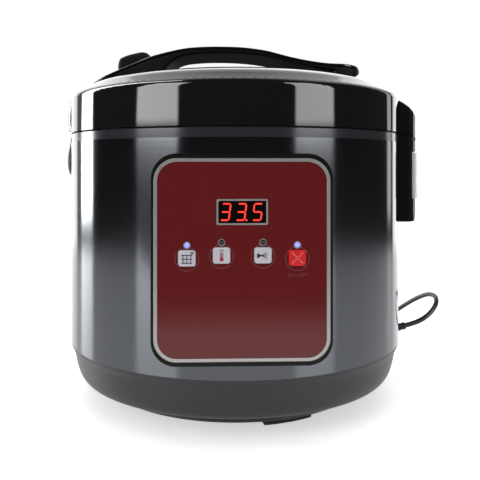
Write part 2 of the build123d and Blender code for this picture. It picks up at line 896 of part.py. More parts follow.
def indicator_lamps():
    """Four small lamps that reach from the board to the face plate."""
    lamps = []
    front = face_front_reach - lamp_ring_proud
    for x, z in lamp_places():
        stalk = panel_slab(Pos(x, z) * Circle(lamp_radius), board_front_reach, front)
        dome = Pos(x, -front, panel_centre_z + z) * Sphere(lamp_radius)
        lamps.append(stalk + dome)
    return Compound(lamps)


def lamp_rings():
    """Bright rings round the lamps."""
    back = face_back_reach
    front = face_front_reach + lamp_ring_proud
    inner = lamp_radius + fit_gap
    rings = []
    for x, z in lamp_places():
        disc = panel_slab(Pos(x, z) * Circle(lamp_ring_radius), back, front)
        rings.append(disc - panel_slab(Pos(x, z) * Circle(inner), back - overrun, front + overrun))
    return Compound(rings)


def tact_switches():
    """Switches on the board, one behind each button."""
    switches = []
    top = board_front_reach + switch_height
    for name, x, z in button_places():
        case = panel_slab(Pos(x, z) * Rectangle(switch_size, switch_size), board_front_reach, top)
        plunger = panel_slab(Pos(x, z) * Circle(plunger_radius), top, top + plunger_height)
        switches.append(case + plunger)
    return Compound(switches)


def panel_button(x, z):
    """A square cap with a flange behind the face plate and a stem to its switch."""
    flange_front = face_back_reach - fit_gap
    flange_back = flange_front - button_flange_thickness
    stem_back = board_front_reach + switch_height + plunger_height + button_travel + switch_gap
    cap_shape = RectangleRounded(button_width, button_height, button_corner)
    flange_width = button_width + 2 * button_flange
    flange_height = button_height + 2 * button_flange
    flange_shape = RectangleRounded(flange_width, flange_height, button_corner)
    cap = panel_slab(Pos(x, z) * cap_shape, flange_front, face_front_reach + button_proud)
    cap = fillet(cap.faces().sort_by(Axis.Y)[0].edges(), button_edge)
    cap += panel_slab(Pos(x, z) * flange_shape, flange_back, flange_front)
    return cap + panel_slab(Pos(x, z) * Circle(button_stem_radius), stem_back, flange_back)


# Hinge and dew cup

def housing_plan(grow):
    """Plan of the hinge housing, grown by an amount."""
    return bulge_plan(
        housing_half_width + grow, housing_corner_reach + grow, housing_reach + grow, housing_inner_reach
    )


def hinge_block():
    """Fixed lower half of the hinge, with the dew cup's pocket and the ears of the pin."""
    top_z = hinge_z - barrel_radius - block_top_gap
    seam_z = deck_z - cheek_gap
    outline = Polyline(
        (housing_inner_reach, block_bottom_z), (block_bottom_reach, block_bottom_z),
        (block_bulge_reach, block_bulge_z), (housing_reach + overrun, top_z),
        (housing_reach + overrun, seam_z), (housing_inner_reach, seam_z), close=True,
    )
    form = side_slab([outline], housing_half_width + overrun)
    solid = form & upright(housing_plan(0), block_bottom_z, seam_z)
    root_x = hinge_x + barrel_radius * ear_root_share
    solid -= block(
        body_radius - 2 * overrun, housing_reach + overrun, -ear_half_width, ear_half_width, top_z,
        seam_z + overrun,
    )
    ears = cross_pin(hinge_x, hinge_z, barrel_radius, ear_half_width)
    ears += block(
        hinge_x - barrel_radius, root_x, -ear_half_width, ear_half_width, top_z - overrun, hinge_z
    )
    ears &= upright(housing_plan(0), block_bottom_z, deck_z + barrel_radius)
    ears -= block(
        body_radius - overrun, housing_reach + overrun, -barrel_half_length - knuckle_gap,
        barrel_half_length + knuckle_gap, top_z, deck_z + 2 * barrel_radius,
    )
    solid += ears
    solid -= cross_pin(hinge_x, hinge_z, pin_radius, housing_half_width)
    solid -= cylinder(body_radius, block_bottom_z - overrun, deck_z + 2 * barrel_radius)
    solid -= cup_pocket()
    drain_x = cup_back_reach + cup_wall + drain_width
    drain = SlotOverall(drain_length, drain_width, rotation=90)
    return solid - extrude(Pos(drain_x, 0, cup_high_z) * drain, amount=top_z - cup_high_z + overrun)


def cup_pocket():
    """The space in the hinge block that the dew cup slides in."""
    half_width = cup_half_width + pocket_gap
    return block(
        cup_back_reach - pocket_gap, housing_reach + cup_proud + overrun, -half_width, half_width,
        cup_low_z - pocket_gap, cup_high_z + pocket_gap,
    )


def cup_plan(inset):
    """Plan of the dew cup, moved in by a wall."""
    bow_radius = (housing_half_width ** 2 + (housing_reach - housing_corner_reach) ** 2) / (
        2 * (housing_reach - housing_corner_reach)
    )
    bow_centre = housing_reach - bow_radius
    half_width = cup_half_width - inset
    bow = bow_radius + cup_proud - inset
    corner_reach = bow_centre + math.sqrt(bow ** 2 - half_width ** 2)
    return bulge_plan(half_width, corner_reach, bow_centre + bow, cup_back_reach + inset)


def dew_cup():
    """Clear cup that catches the condensate from the lid."""
    cup = upright(cup_plan(0), cup_low_z, cup_high_z)
    return cup - upright(cup_plan(cup_wall), cup_low_z + cup_wall, cup_high_z + overrun)


def hinge_pin():
    """Steel pin through the ears and the lid's knuckle."""
    return cross_pin(hinge_x, hinge_z, pin_radius, ear_half_width + pin_end)


def hinge_spring():
    """Lifting spring wound round the pin inside the knuckle."""
    coil = coil_spring(
        0, 0, -hinge_spring_half_length, hinge_spring_half_length, hinge_spring_radius, hinge_spring_wire,
        hinge_spring_turns,
    )
    return Pos(hinge_x, 0, hinge_z) * Rot(90, 0, 0) * coil


def lid_hinge_cover():
    """Upper half of the hinge housing, fixed to the lid, with the knuckle on the pin."""
    outline = Polyline(
        (housing_inner_reach, lid_bottom_z), (housing_reach + overrun, lid_bottom_z),
        (housing_reach + overrun, hinge_cover_face_z), (housing_reach, hinge_cover_face_z),
        (hinge_cover_top_reach, hinge_cover_top_z),
        (housing_inner_reach, hinge_cover_top_z + overrun), close=True,
    )
    form = side_slab([outline], housing_half_width + overrun)
    cover = form & upright(housing_plan(0), lid_bottom_z, hinge_cover_top_z + overrun)
    cover -= cross_pin(hinge_x, hinge_z, barrel_radius + swing_gap, ear_half_width + knuckle_gap)
    knuckle = cross_pin(hinge_x, hinge_z, barrel_radius, barrel_half_length)
    knuckle += block(
        hinge_x - barrel_radius, hinge_x + barrel_radius, -barrel_half_length, barrel_half_length, hinge_z,
        lid_bottom_z + barrel_radius,
    )
    knuckle &= upright(housing_plan(0), hinge_z - 2 * barrel_radius, lid_bottom_z + 2 * barrel_radius)
    cover += knuckle
    cover -= cross_pin(hinge_x, hinge_z, pin_radius + pin_running_gap, barrel_half_length + overrun)
    cover -= cross_pin(
        hinge_x, hinge_z, hinge_spring_radius + hinge_spring_wire / 2 + hinge_spring_gap,
        hinge_spring_half_length + hinge_spring_gap,
    )
    return cover - lid_form()


# Lid

def lid_shell():
    """Outer moulding of the lid, with the ledge for its top cover and the lugs of the latch."""
    groove_radius = cover_radius + cover_groove
    ledge_z = shoulder_top_z - cover_edge_height
    ledge_under_z = ledge_z - lid_wall
    ledge_radius = cover_radius - cover_ledge_width
    inner_side = body_radius - lid_wall
    inner_points = [(inner_side - inner_shoulder_run, ledge_under_z)]
    inner_points += [
        (inner_side - inner_shoulder_run * a, lid_side_top_z + inner_shoulder_rise * b)
        for a, b in reversed(inner_shoulder_shares)
    ]
    inner_points.append((inner_side, lid_side_top_z - lid_wall))
    shell = turned(
        shoulder_curve(),
        Polyline(
            (groove_radius, shoulder_top_z), (groove_radius, ledge_z), (ledge_radius, ledge_z),
            (ledge_radius, ledge_under_z), inner_points[0],
        ),
        Spline(*inner_points),
        Polyline(
            inner_points[-1], (inner_side, lid_bottom_z), (body_radius, lid_bottom_z),
            (body_radius, lid_side_top_z),
        ),
    )
    lug_low = hook_half_width + moving_gap
    lug_high = lug_low + lug_thickness
    lug_bottom_z = hook_pivot_z - lug_radius
    lug_top_z = hook_pivot_z + lug_radius
    lugs = []
    for low, high in ((lug_low, lug_high), (-lug_high, -lug_low)):
        hub = cross_pin(hook_pivot_x, hook_pivot_z, lug_radius, lug_thickness / 2)
        lug = block(-inner_side, hook_pivot_x, low, high, lug_bottom_z, lug_top_z)
        lug += Pos(0, (low + high) / 2, 0) * hub
        lugs.append(lug & cylinder(inner_side, lid_bottom_z, lid_side_top_z))
    shell += lugs
    liner_top = lid_liner_z + lid_liner_thickness
    boss = cylinder(lid_boss_radius, liner_top, ledge_under_z)
    shell += around(lid_boss_count, 0, lid_screw_radius, boss)
    screw_hole = cylinder(screw_shank_radius, liner_top - overrun, liner_top + screw_depth)
    shell -= around(lid_boss_count, 0, lid_screw_radius, screw_hole)
    return shell - cross_pin(hook_pivot_x, hook_pivot_z, latch_pin_radius, lug_high + overrun)


def lid_top_cover():
    """Crowned cover in the middle of the lid."""
    ledge_z = shoulder_top_z - cover_edge_height
    under = [(cover_radius - cover_wall, ledge_z + cover_wall / 2)]
    under += [
        (cover_radius * a, shoulder_top_z - cover_wall + cover_crown * b) for a, b in cover_shares
    ]
    under.append((0, lid_top_z - cover_wall))
    cover = turned(
        cover_curve(),
        Line((0, lid_top_z), (0, lid_top_z - cover_wall)),
        Spline(*reversed(under)),
        Polyline(
            under[0], (cover_radius - cover_wall, ledge_z), (cover_radius, ledge_z),
            (cover_radius, shoulder_top_z),
        ),
    )
    stem_hole = Pos(release_stem_x, 0, 0) * cylinder(
        release_stem_radius + stem_clearance + fit_gap, ledge_z, lid_top_z + overrun
    )
    vent_hole = Pos(vent_x, vent_y, 0) * cylinder(vent_radius, ledge_z, lid_top_z + overrun)
    return cover - stem_hole - vent_hole


def lid_liner():
    """Plate that closes the lid's underside."""
    plate = cylinder(body_radius - lid_wall, lid_liner_z, lid_liner_z + lid_liner_thickness)
    plate -= latch_slot(lid_liner_z - overrun, lid_liner_z + lid_liner_thickness + overrun)
    steam_hole = cylinder(vent_radius / 2, lid_liner_z - overrun, lid_liner_z + 2 * overrun)
    plate -= Pos(vent_x, vent_y, 0) * steam_hole
    shank = cylinder(screw_shank_radius, lid_liner_z - overrun, lid_liner_z + 2 * overrun)
    plate -= around(lid_boss_count, 0, lid_screw_radius, shank)
    groove_inner = gasket_outer_radius - gasket_width
    lip_low = lid_liner_z - gasket_groove
    plate += tube(gasket_outer_radius + pan_lip_width, gasket_outer_radius, lip_low, lid_liner_z)
    return plate + tube(groove_inner, groove_inner - pan_lip_width, lip_low, lid_liner_z)


def lid_gasket():
    """Silicone seal that meets the pot's rim."""
    low = deck_z + pot_rim_thickness + gasket_gap
    outer = gasket_outer_radius
    inner = outer - gasket_width
    return turned(
        Polyline(
            (inner, lid_liner_z), (outer, lid_liner_z), (outer, lid_liner_z - gasket_groove),
            (outer - gasket_groove, low), (inner + gasket_groove, low), (inner, lid_liner_z - gasket_groove),
            close=True,
        )
    )


def inner_lid_plate():
    """Aluminium plate over the chocolate, on a boss under the liner."""
    low = lid_liner_z - inner_plate_drop
    plate = cylinder(inner_plate_radius, low, low + inner_plate_thickness)
    return plate + cylinder(inner_plate_boss_radius, low, lid_liner_z)


def lid_screws():
    """Screws that hold the liner to the lid's shell."""
    head = cylinder(screw_head_radius, lid_liner_z - screw_head_height, lid_liner_z)
    liner_top = lid_liner_z + lid_liner_thickness
    screw = head + cylinder(screw_shank_radius, lid_liner_z - screw_head_height / 2, liner_top + screw_depth)
    return Compound(around(lid_boss_count, 0, lid_screw_radius, screw))


def vent_seat():
    """Tube through the top cover for the steam."""
    low = shoulder_top_z - vent_seat_depth
    flange_z = shoulder_top_z - cover_edge_height
    seat = tube(vent_radius, vent_radius - vent_wall, low, lid_top_z)
    seat += tube(vent_radius + vent_flange, vent_radius - vent_wall, flange_z - vent_wall, flange_z)
    return Pos(vent_x, vent_y, 0) * seat


def steam_vent_cap():
    """Loose cap on the vent, with a plug that sits in the tube."""
    low = lid_top_z + vent_cap_rise
    cap = cylinder(vent_cap_radius, low, low + vent_cap_height)
    cap = fillet(cap.edges().group_by(Axis.Z)[-1], vent_cap_edge)
    plug_radius = vent_radius - vent_wall - moving_gap
    cap += tube(plug_radius, plug_radius - vent_wall, low - vent_cap_height, low)
    hole = cylinder(vent_cap_hole_radius, low - overrun, low + vent_cap_height + overrun)
    cap -= around(vent_cap_holes, 0, plug_radius - 2 * vent_wall, hole)
    return Pos(vent_x, vent_y, 0) * cap


# Handle

def handle_points(shares, drop=0.0):
    """Points of the handle's side view from their shares."""
    return [(body_radius * a, lid_top_z + handle_rise * b - drop) for a, b in shares]


def handle_plan():
    """The handle's outline from above."""
    near = [(body_radius * a, -body_radius * b) for a, b in handle_plan_shares]
    far = [(x, -y) for x, y in reversed(near)]
    sides = [Spline(*near), Line(near[-1], far[0]), Spline(*far), Line(far[-1], near[0])]
    return make_face([edge for side in sides for edge in side.edges()])


def handle_upper():
    """Top skin of the handle."""
    top = handle_points(handle_top_shares)
    under = handle_points(handle_top_shares, handle_skin)
    outline = [Spline(*top), Line(top[-1], under[-1]), Spline(*reversed(under)), Line(under[0], top[0])]
    skin = side_slab(outline, body_radius / 2) & upright(handle_plan(), lid_side_top_z, above_all_z)
    return skin - release_pocket() - Pos(0, 0, handle_seat_gap) * lid_form()


def handle_lower():
    """Front leg, grip and rear pedestal of the handle, in one moulding."""
    upper = handle_points(handle_top_shares, handle_skin)
    under = handle_points(handle_under_shares)
    tip_x, tip_z = upper[-1]
    pedestal_x = body_radius * pedestal_reach_share
    tip_under_z = tip_z + handle_skin - handle_tip_thickness
    low_z = lid_side_top_z
    outline = [
        Spline(*upper),
        Polyline(
            (tip_x, tip_z), (tip_x, tip_under_z), (pedestal_x, tip_under_z), (pedestal_x, low_z),
            (under[0][0], low_z), under[0],
        ),
        Spline(*under),
        Polyline(under[-1], (under[-1][0], low_z), (upper[0][0], low_z), upper[0]),
    ]
    lower = side_slab(outline, body_radius / 2) & upright(handle_plan(), low_z, above_all_z)
    return lower - release_pocket() - Pos(0, 0, handle_seat_gap) * lid_form()


def release_plan(grow):
    """Plan of the release button, grown by an amount."""
    length = release_rear_x - release_front_x + 2 * grow
    middle_x = (release_front_x + release_rear_x) / 2
    return Pos(middle_x, 0) * RectangleRounded(length, 2 * (release_half_width + grow), release_corner)


def release_pocket():
    """The space in the handle that the release button moves in."""
    return upright(release_plan(release_gap), lid_side_top_z, above_all_z)


def release_button():
    """Humped button in the handle's slope, with the stem that works the latch."""
    length = release_rear_x - release_front_x
    points = [
        (release_front_x + length * a, release_skirt_z + release_height * b) for a, b in release_top_shares
    ]
    outline = [
        Spline(*points),
        Polyline(
            points[-1], (release_rear_x, release_skirt_z), (release_front_x, release_skirt_z), points[0],
        ),
    ]
    cap = side_slab(outline, release_half_width + overrun)
    cap &= upright(release_plan(0), release_skirt_z, release_skirt_z + 2 * release_height)
    hollow = upright(release_plan(-release_wall), release_skirt_z - overrun, release_ceiling_z)
    stem_low = hook_pivot_z + arm_height / 2 + stem_clearance
    stem = Pos(release_stem_x, 0, 0) * cylinder(release_stem_radius, stem_low, release_ceiling_z)
    return cap - hollow + stem


def button_spring():
    """Return spring round the release button's stem."""
    return coil_spring(
        release_stem_x, 0, release_spring_low_z, release_ceiling_z, release_spring_radius, release_wire,
        release_spring_turns,
    )


# Latch

def latch_hook():
    """Rocking hook: the button pushes its arm down and its nose swings clear of the deck."""
    half = hook_thickness / 2
    low_z = hook_pivot_z - hook_drop
    outline = Polyline(
        (hook_pivot_x - half, hook_pivot_z), (hook_pivot_x - half, low_z),
        (hook_pivot_x + half + hook_nose_length, low_z),
        (hook_pivot_x + half + hook_nose_length, low_z + hook_nose_height),
        (hook_pivot_x + half, low_z + hook_nose_height), (hook_pivot_x + half, hook_pivot_z), close=True,
    )
    hook = side_slab([outline], hook_half_width)
    hook += cross_pin(hook_pivot_x, hook_pivot_z, hook_hub_radius, hook_half_width)
    hook += block(
        hook_pivot_x, release_stem_x + 2 * release_stem_radius, -release_stem_radius, release_stem_radius,
        hook_pivot_z - arm_height / 2, hook_pivot_z + arm_height / 2,
    )
    bore_radius = latch_pin_radius + pin_running_gap
    return hook - cross_pin(hook_pivot_x, hook_pivot_z, bore_radius, hook_half_width + overrun)


def latch_pin():
    """Pin that the hook rocks on."""
    half_length = hook_half_width + moving_gap + lug_thickness
    return cross_pin(hook_pivot_x, hook_pivot_z, latch_pin_radius, half_length)


def latch_plan():
    """Plan of the latch trims, on the side of the body at -X."""
    reach = body_radius + latch_proud
    plan = bulge_plan(latch_half_width, reach - latch_corner_drop, reach, body_radius / 2)
    return Rot(0, 0, 180) * plan


def lid_latch_trim():
    """Raised grip on the lid's side above the latch."""
    reach = body_radius + latch_proud
    inner_x = -body_radius + latch_half_width
    outline = Polyline(
        (inner_x, lid_trim_low_z), (-body_radius - lid_trim_low_reach, lid_trim_low_z),
        (-reach, lid_trim_low_z + lid_trim_round), (-reach, lid_trim_high_z - lid_trim_round),
        (-reach + lid_trim_round, lid_trim_high_z), (inner_x, lid_trim_high_z), close=True,
    )
    trim = side_slab([outline], latch_half_width + overrun)
    trim &= upright(latch_plan(), lid_trim_low_z, lid_trim_high_z)
    return trim - lid_form()


def latch_keeper():
    """Raised trim below the latch on the body."""
    height = keeper_high_z - keeper_low_z
    inner_x = -body_radius + latch_half_width
    points = [(-body_radius - latch_proud * b, keeper_low_z + height * a) for a, b in keeper_shares]
    outline = [
        Spline(*points),
        Polyline(points[-1], (inner_x, keeper_low_z), (inner_x, keeper_high_z), points[0]),
    ]
    trim = side_slab(outline, latch_half_width + overrun)
    trim &= upright(latch_plan(), keeper_low_z, keeper_high_z)
    return trim - cylinder(body_radius, keeper_low_z - overrun, keeper_high_z + overrun)


# Mains lead

def gland_frame():
    """The gland's place on the pan, with its z axis along the lead's first run."""
    tip = Vector(*cord_route[0])
    out = (Vector(*cord_route[1]) - tip).normalized()
    return Plane(origin=tip - out * gland_length, z_dir=out)


def gland_stub():
    """The part of the gland that passes through the pan's wall."""
    stub = Pos(0, 0, -gland_inside) * Cylinder(
        gland_root_radius, gland_inside + gland_length / 2, align=(Align.CENTER, Align.CENTER, Align.MIN)
    )
    return gland_frame() * stub


def cord_gland():
    """Strain relief moulded on the lead."""
    outline = Polyline(
        (0, -gland_inside), (gland_root_radius, -gland_inside), (gland_root_radius, 0),
        (gland_collar_radius, 0), (gland_collar_radius, gland_collar_length),
        (gland_root_radius, gland_collar_length), (gland_tip_radius, gland_length - gland_tip_length),
        (gland_tip_radius, gland_length), (0, gland_length), close=True,
    )
    relief = gland_frame() * revolve(Plane.XZ * make_face(outline.edges()), Axis.Z)
    outside = relief - body_form()
    inside = relief & body_form() & gland_stub()
    return outside + inside


def cord_path():
    """The lead's middle line, as straight runs joined by tangent arcs."""
    points = [Vector(*point) for point in cord_route]
    radii = []
    for before, corner, after in zip(points, points[1:], points[2:]):
        run_in = corner - before
        run_out = after - corner
        half_turn = math.radians(run_in.get_angle(run_out)) / 2
        radii.append(cord_arc_share * min(run_in.length, run_out.length) / math.tan(half_turn))
    return FilletPolyline(*points, radius=radii)


def cord():
    """The lead from the gland to the coil."""
    path = cord_path()
    lead = sweep(Plane(path @ 0, z_dir=path % 0) * Circle(cord_radius), path=path)
    expected = math.pi * cord_radius ** 2 * path.length
    print("cord volume", round(lead.volume, 1), "section times length", round(expected, 1))
    return lead


def coil_frame():
    """The coil's middle and the radius at the middle of its turns, which take up the rest of the lead."""
    turns = coil_turns_wide * coil_turns_high
    middle_radius = (cord_length - cord_path().length - coil_tail) / (2 * math.pi * turns)
    end_x, end_y, end_z = cord_route[-1]
    return Pos(end_x, end_y + middle_radius, 0), middle_radius


def cord_coil():
    """Outer shape of the put-away coil, with the short tail that runs to the plug."""
    place, middle_radius = coil_frame()
    thickness = 2 * cord_radius
    half_width = coil_turns_wide * thickness / 2
    height = coil_turns_high * thickness
    ring = tube(middle_radius + half_width, middle_radius - half_width, 0, height)
    ring = fillet(ring.edges(), cord_radius * coil_edge_share)
    tail = Rot(0, 90, 0) * Cylinder(cord_radius, coil_tail)
    tail = Pos(-coil_tail / 2, -middle_radius, plug_thickness / 2) * tail
    return place * (ring + tail)


def plug_frame():
    """The end of the coil's tail, where the plug's neck starts, with its x axis along the plug."""
    place, middle_radius = coil_frame()
    return place * Pos(-coil_tail, -middle_radius, plug_thickness / 2) * Rot(0, 0, 180)


def plug_body():
    """Flat two-pin plug with a tapered neck."""
    neck = Rot(0, 90, 0) * Cone(plug_neck_tip_radius, plug_neck_radius, plug_neck_length)
    neck = Pos(plug_neck_length / 2, 0, 0) * neck
    body = Pos(plug_neck_length + plug_length / 2, 0, 0) * Box(plug_length, plug_width, plug_thickness)
    body = fillet(body.edges().filter_by(Axis.Z), plug_corner)
    body = fillet(body.edges(), plug_edge)
    return plug_frame() * (neck + body)


def plug_pins():
    """The plug's two round pins."""
    start = plug_neck_length + plug_length
    pin = Rot(0, 90, 0) * Cylinder(plug_pin_radius, plug_pin_length)
    pin = chamfer(pin.edges().group_by(Axis.X)[-1], plug_pin_edge)
    places = [Pos(start + plug_pin_length / 2, side * pin_spacing / 2, 0) for side in (-1, 1)]
    return Compound([plug_frame() * place * pin for place in places])


pieces = {
    "base_pan": base_pan,
    "bottom_plate": bottom_plate,
    "feet": feet,
    "base_screws": base_screws,
    "outer_shell": outer_shell,
    "top_ring": top_ring,
    "inner_liner": inner_liner,
    "heater_band": heater_band,
    "heating_plate": heating_plate,
    "heating_element": heating_element,
    "plate_posts": plate_posts,
    "inner_pot": inner_pot,
    "sensor_capsule": sensor_capsule,
    "sensor_holder": sensor_holder,
    "sensor_spring": sensor_spring,
    "power_board": power_board,
    "panel_housing": panel_housing,
    "panel_frame": panel_frame,
    "panel_face": panel_face,
    "display_frame": display_frame,
    "display_lens": display_lens,
    "display_module": display_module,
    "control_board": control_board,
    "indicator_lamps": indicator_lamps,
    "lamp_rings": lamp_rings,
    "tact_switches": tact_switches,
    "hinge_block": hinge_block,
    "hinge_pin": hinge_pin,
    "hinge_spring": hinge_spring,
    "dew_cup": dew_cup,
    "lid_hinge_cover": lid_hinge_cover,
    "lid_shell": lid_shell,
    "lid_top_cover": lid_top_cover,
    "lid_liner": lid_liner,
    "lid_gasket": lid_gasket,
    "inner_lid_plate": inner_lid_plate,
    "lid_screws": lid_screws,
    "vent_seat": vent_seat,
    "steam_vent_cap": steam_vent_cap,
    "handle_upper": handle_upper,
    "handle_lower": handle_lower,
    "release_button": release_button,
    "button_spring": button_spring,
    "latch_hook": latch_hook,
    "latch_pin": latch_pin,
    "lid_latch_trim": lid_latch_trim,
    "latch_keeper": latch_keeper,
    "cord_gland": cord_gland,
    "cord": cord,
    "cord_coil": cord_coil,
    "plug_body": plug_body,
    "plug_pins": plug_pins,
}

os.makedirs("parts", exist_ok=True)
for piece_name, make_piece in pieces.items():
    export_step(row_place * make_piece(), f"parts/{piece_name}.step")
for piece_name, place_x, place_z in button_places():
    export_step(row_place * panel_button(place_x, place_z), f"parts/{piece_name}.step")
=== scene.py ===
"""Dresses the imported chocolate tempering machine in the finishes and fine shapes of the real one."""

import json
import logging
import math
from collections.abc import Sequence
from dataclasses import dataclass, field, replace
from enum import Enum

import bmesh
import bpy
import numpy as np
from mathutils import Matrix, Vector

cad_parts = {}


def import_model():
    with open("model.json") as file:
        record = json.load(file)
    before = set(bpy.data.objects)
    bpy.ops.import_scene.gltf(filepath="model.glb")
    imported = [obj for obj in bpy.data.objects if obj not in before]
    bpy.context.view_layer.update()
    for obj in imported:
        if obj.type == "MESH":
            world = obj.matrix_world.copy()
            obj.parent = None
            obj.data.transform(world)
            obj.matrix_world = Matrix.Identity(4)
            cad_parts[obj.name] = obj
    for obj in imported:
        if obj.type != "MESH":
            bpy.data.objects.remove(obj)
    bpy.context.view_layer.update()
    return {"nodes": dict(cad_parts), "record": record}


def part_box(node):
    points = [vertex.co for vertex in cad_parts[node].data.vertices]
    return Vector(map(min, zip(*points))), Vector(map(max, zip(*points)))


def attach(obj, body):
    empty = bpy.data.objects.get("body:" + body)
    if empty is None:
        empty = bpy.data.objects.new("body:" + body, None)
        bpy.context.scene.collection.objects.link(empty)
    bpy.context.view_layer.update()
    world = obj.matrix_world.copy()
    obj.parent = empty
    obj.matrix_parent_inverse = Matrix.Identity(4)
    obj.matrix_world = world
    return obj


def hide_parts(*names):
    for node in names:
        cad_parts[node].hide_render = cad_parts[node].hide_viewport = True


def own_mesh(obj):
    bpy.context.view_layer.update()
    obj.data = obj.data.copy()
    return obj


LOG = logging.getLogger("tempering_machine")
MM = 0.001
WHITE = (1.0, 1.0, 1.0, 1.0)
# Points closer together than this are one point, in metres
WELD_REACH = 0.002 * MM
# The turn in degrees from which an edge stays sharp, on the frame, on small pieces and on the handle
FRAME_SHARP = 28.0
PIECE_SHARP = 34.0
HANDLE_SHARP = 50.0
# Points along a side curve: a long one as on the handle, a short one as on a button or pad
LONG_CURVE = 400
SHORT_CURVE = 300
# Steps round a lofted section
LOFT_STEPS = 72
# No surface is smoother than this
LEAST_ROUGHNESS = 0.01

# Pairs of numbers, such as the points of a side curve
Pairs = tuple[tuple[float, float], ...]


# Finishes


class Pattern(Enum):
    """How a surface was made, which sets the pattern that the eye finds on it."""

    MOULDED = "moulded"
    BRUSHED_ROUND = "brushed round the vessel"
    BRUSHED_ACROSS = "brushed from side to side"
    SPUN = "turned on a lathe"
    SPECKLED = "sprayed with flecks"
    ETCHED = "etched tracks"


# The pattern's frequency along each axis, as a share of its frequency across the grain
STRETCH_SHARES = {
    Pattern.MOULDED: (1.0, 1.0, 1.0),
    Pattern.BRUSHED_ROUND: (0.012, 0.012, 1.0),
    Pattern.BRUSHED_ACROSS: (0.012, 1.0, 1.0),
    Pattern.SPECKLED: (1.0, 1.0, 1.0),
    Pattern.ETCHED: (1.0, 1.0, 1.0),
}
# Patterns of cells: the cells themselves, and the distances from their middles between which the tone turns
CELLS = {
    Pattern.SPECKLED: ({"Scale": 1.0, "Randomness": 1.0}, {"From Min": 0.22, "From Max": 0.12}),
    Pattern.ETCHED: (
        {"distance": "CHEBYCHEV", "Scale": 1.0, "Randomness": 0.6},
        {"From Min": 0.28, "From Max": 0.34},
    ),
}


def linear_colour(hex_value: str) -> tuple[float, float, float, float]:
    """Turns an sRGB hex colour to linear light.

    Args:
        hex_value: Six hex digits, with or without a leading mark.

    Returns:
        Red, green, blue and an alpha of 1.
    """
    digits = hex_value.lstrip("#")
    parts = np.array([int(digits[start:start + 2], 16) for start in (0, 2, 4)]) / 255.0
    toe, toe_slope, lift, power = 0.04045, 12.92, 0.055, 2.4
    light = np.where(parts <= toe, parts / toe_slope, ((parts + lift) / (1 + lift)) ** power)
    return (float(light[0]), float(light[1]), float(light[2]), 1.0)


def add_node(
    tree: bpy.types.NodeTree,
    kind: str,
    settings: dict | None = None,
    links: dict | None = None,
) -> bpy.types.Node:
    """Adds one node with its settings and its incoming links.

    Args:
        tree: The node tree that gets it.
        kind: The node's class name.
        settings: Values by property name, or by input name or number.
        links: Output sockets by input name or number.

    Returns:
        The new node.
    """
    node = tree.nodes.new(kind)
    for key, value in (settings or {}).items():
        if isinstance(key, str) and hasattr(node, key):
            setattr(node, key, value)
        else:
            node.inputs[key].default_value = value
    for key, socket in (links or {}).items():
        tree.links.new(socket, node.inputs[key])
    return node


def calculate(
    tree: bpy.types.NodeTree, operation: str, *terms: float | bpy.types.NodeSocket
) -> bpy.types.NodeSocket:
    """Adds one node that works out a number.

    Args:
        tree: The node tree that gets it.
        operation: What it works out.
        terms: Numbers or sockets, in the order of the node's inputs.

    Returns:
        The socket that carries the result.
    """
    numbers = {place: term for place, term in enumerate(terms) if isinstance(term, float)}
    sockets = {place: term for place, term in enumerate(terms) if place not in numbers}
    return add_node(tree, "ShaderNodeMath", {"operation": operation, **numbers}, sockets).outputs[0]


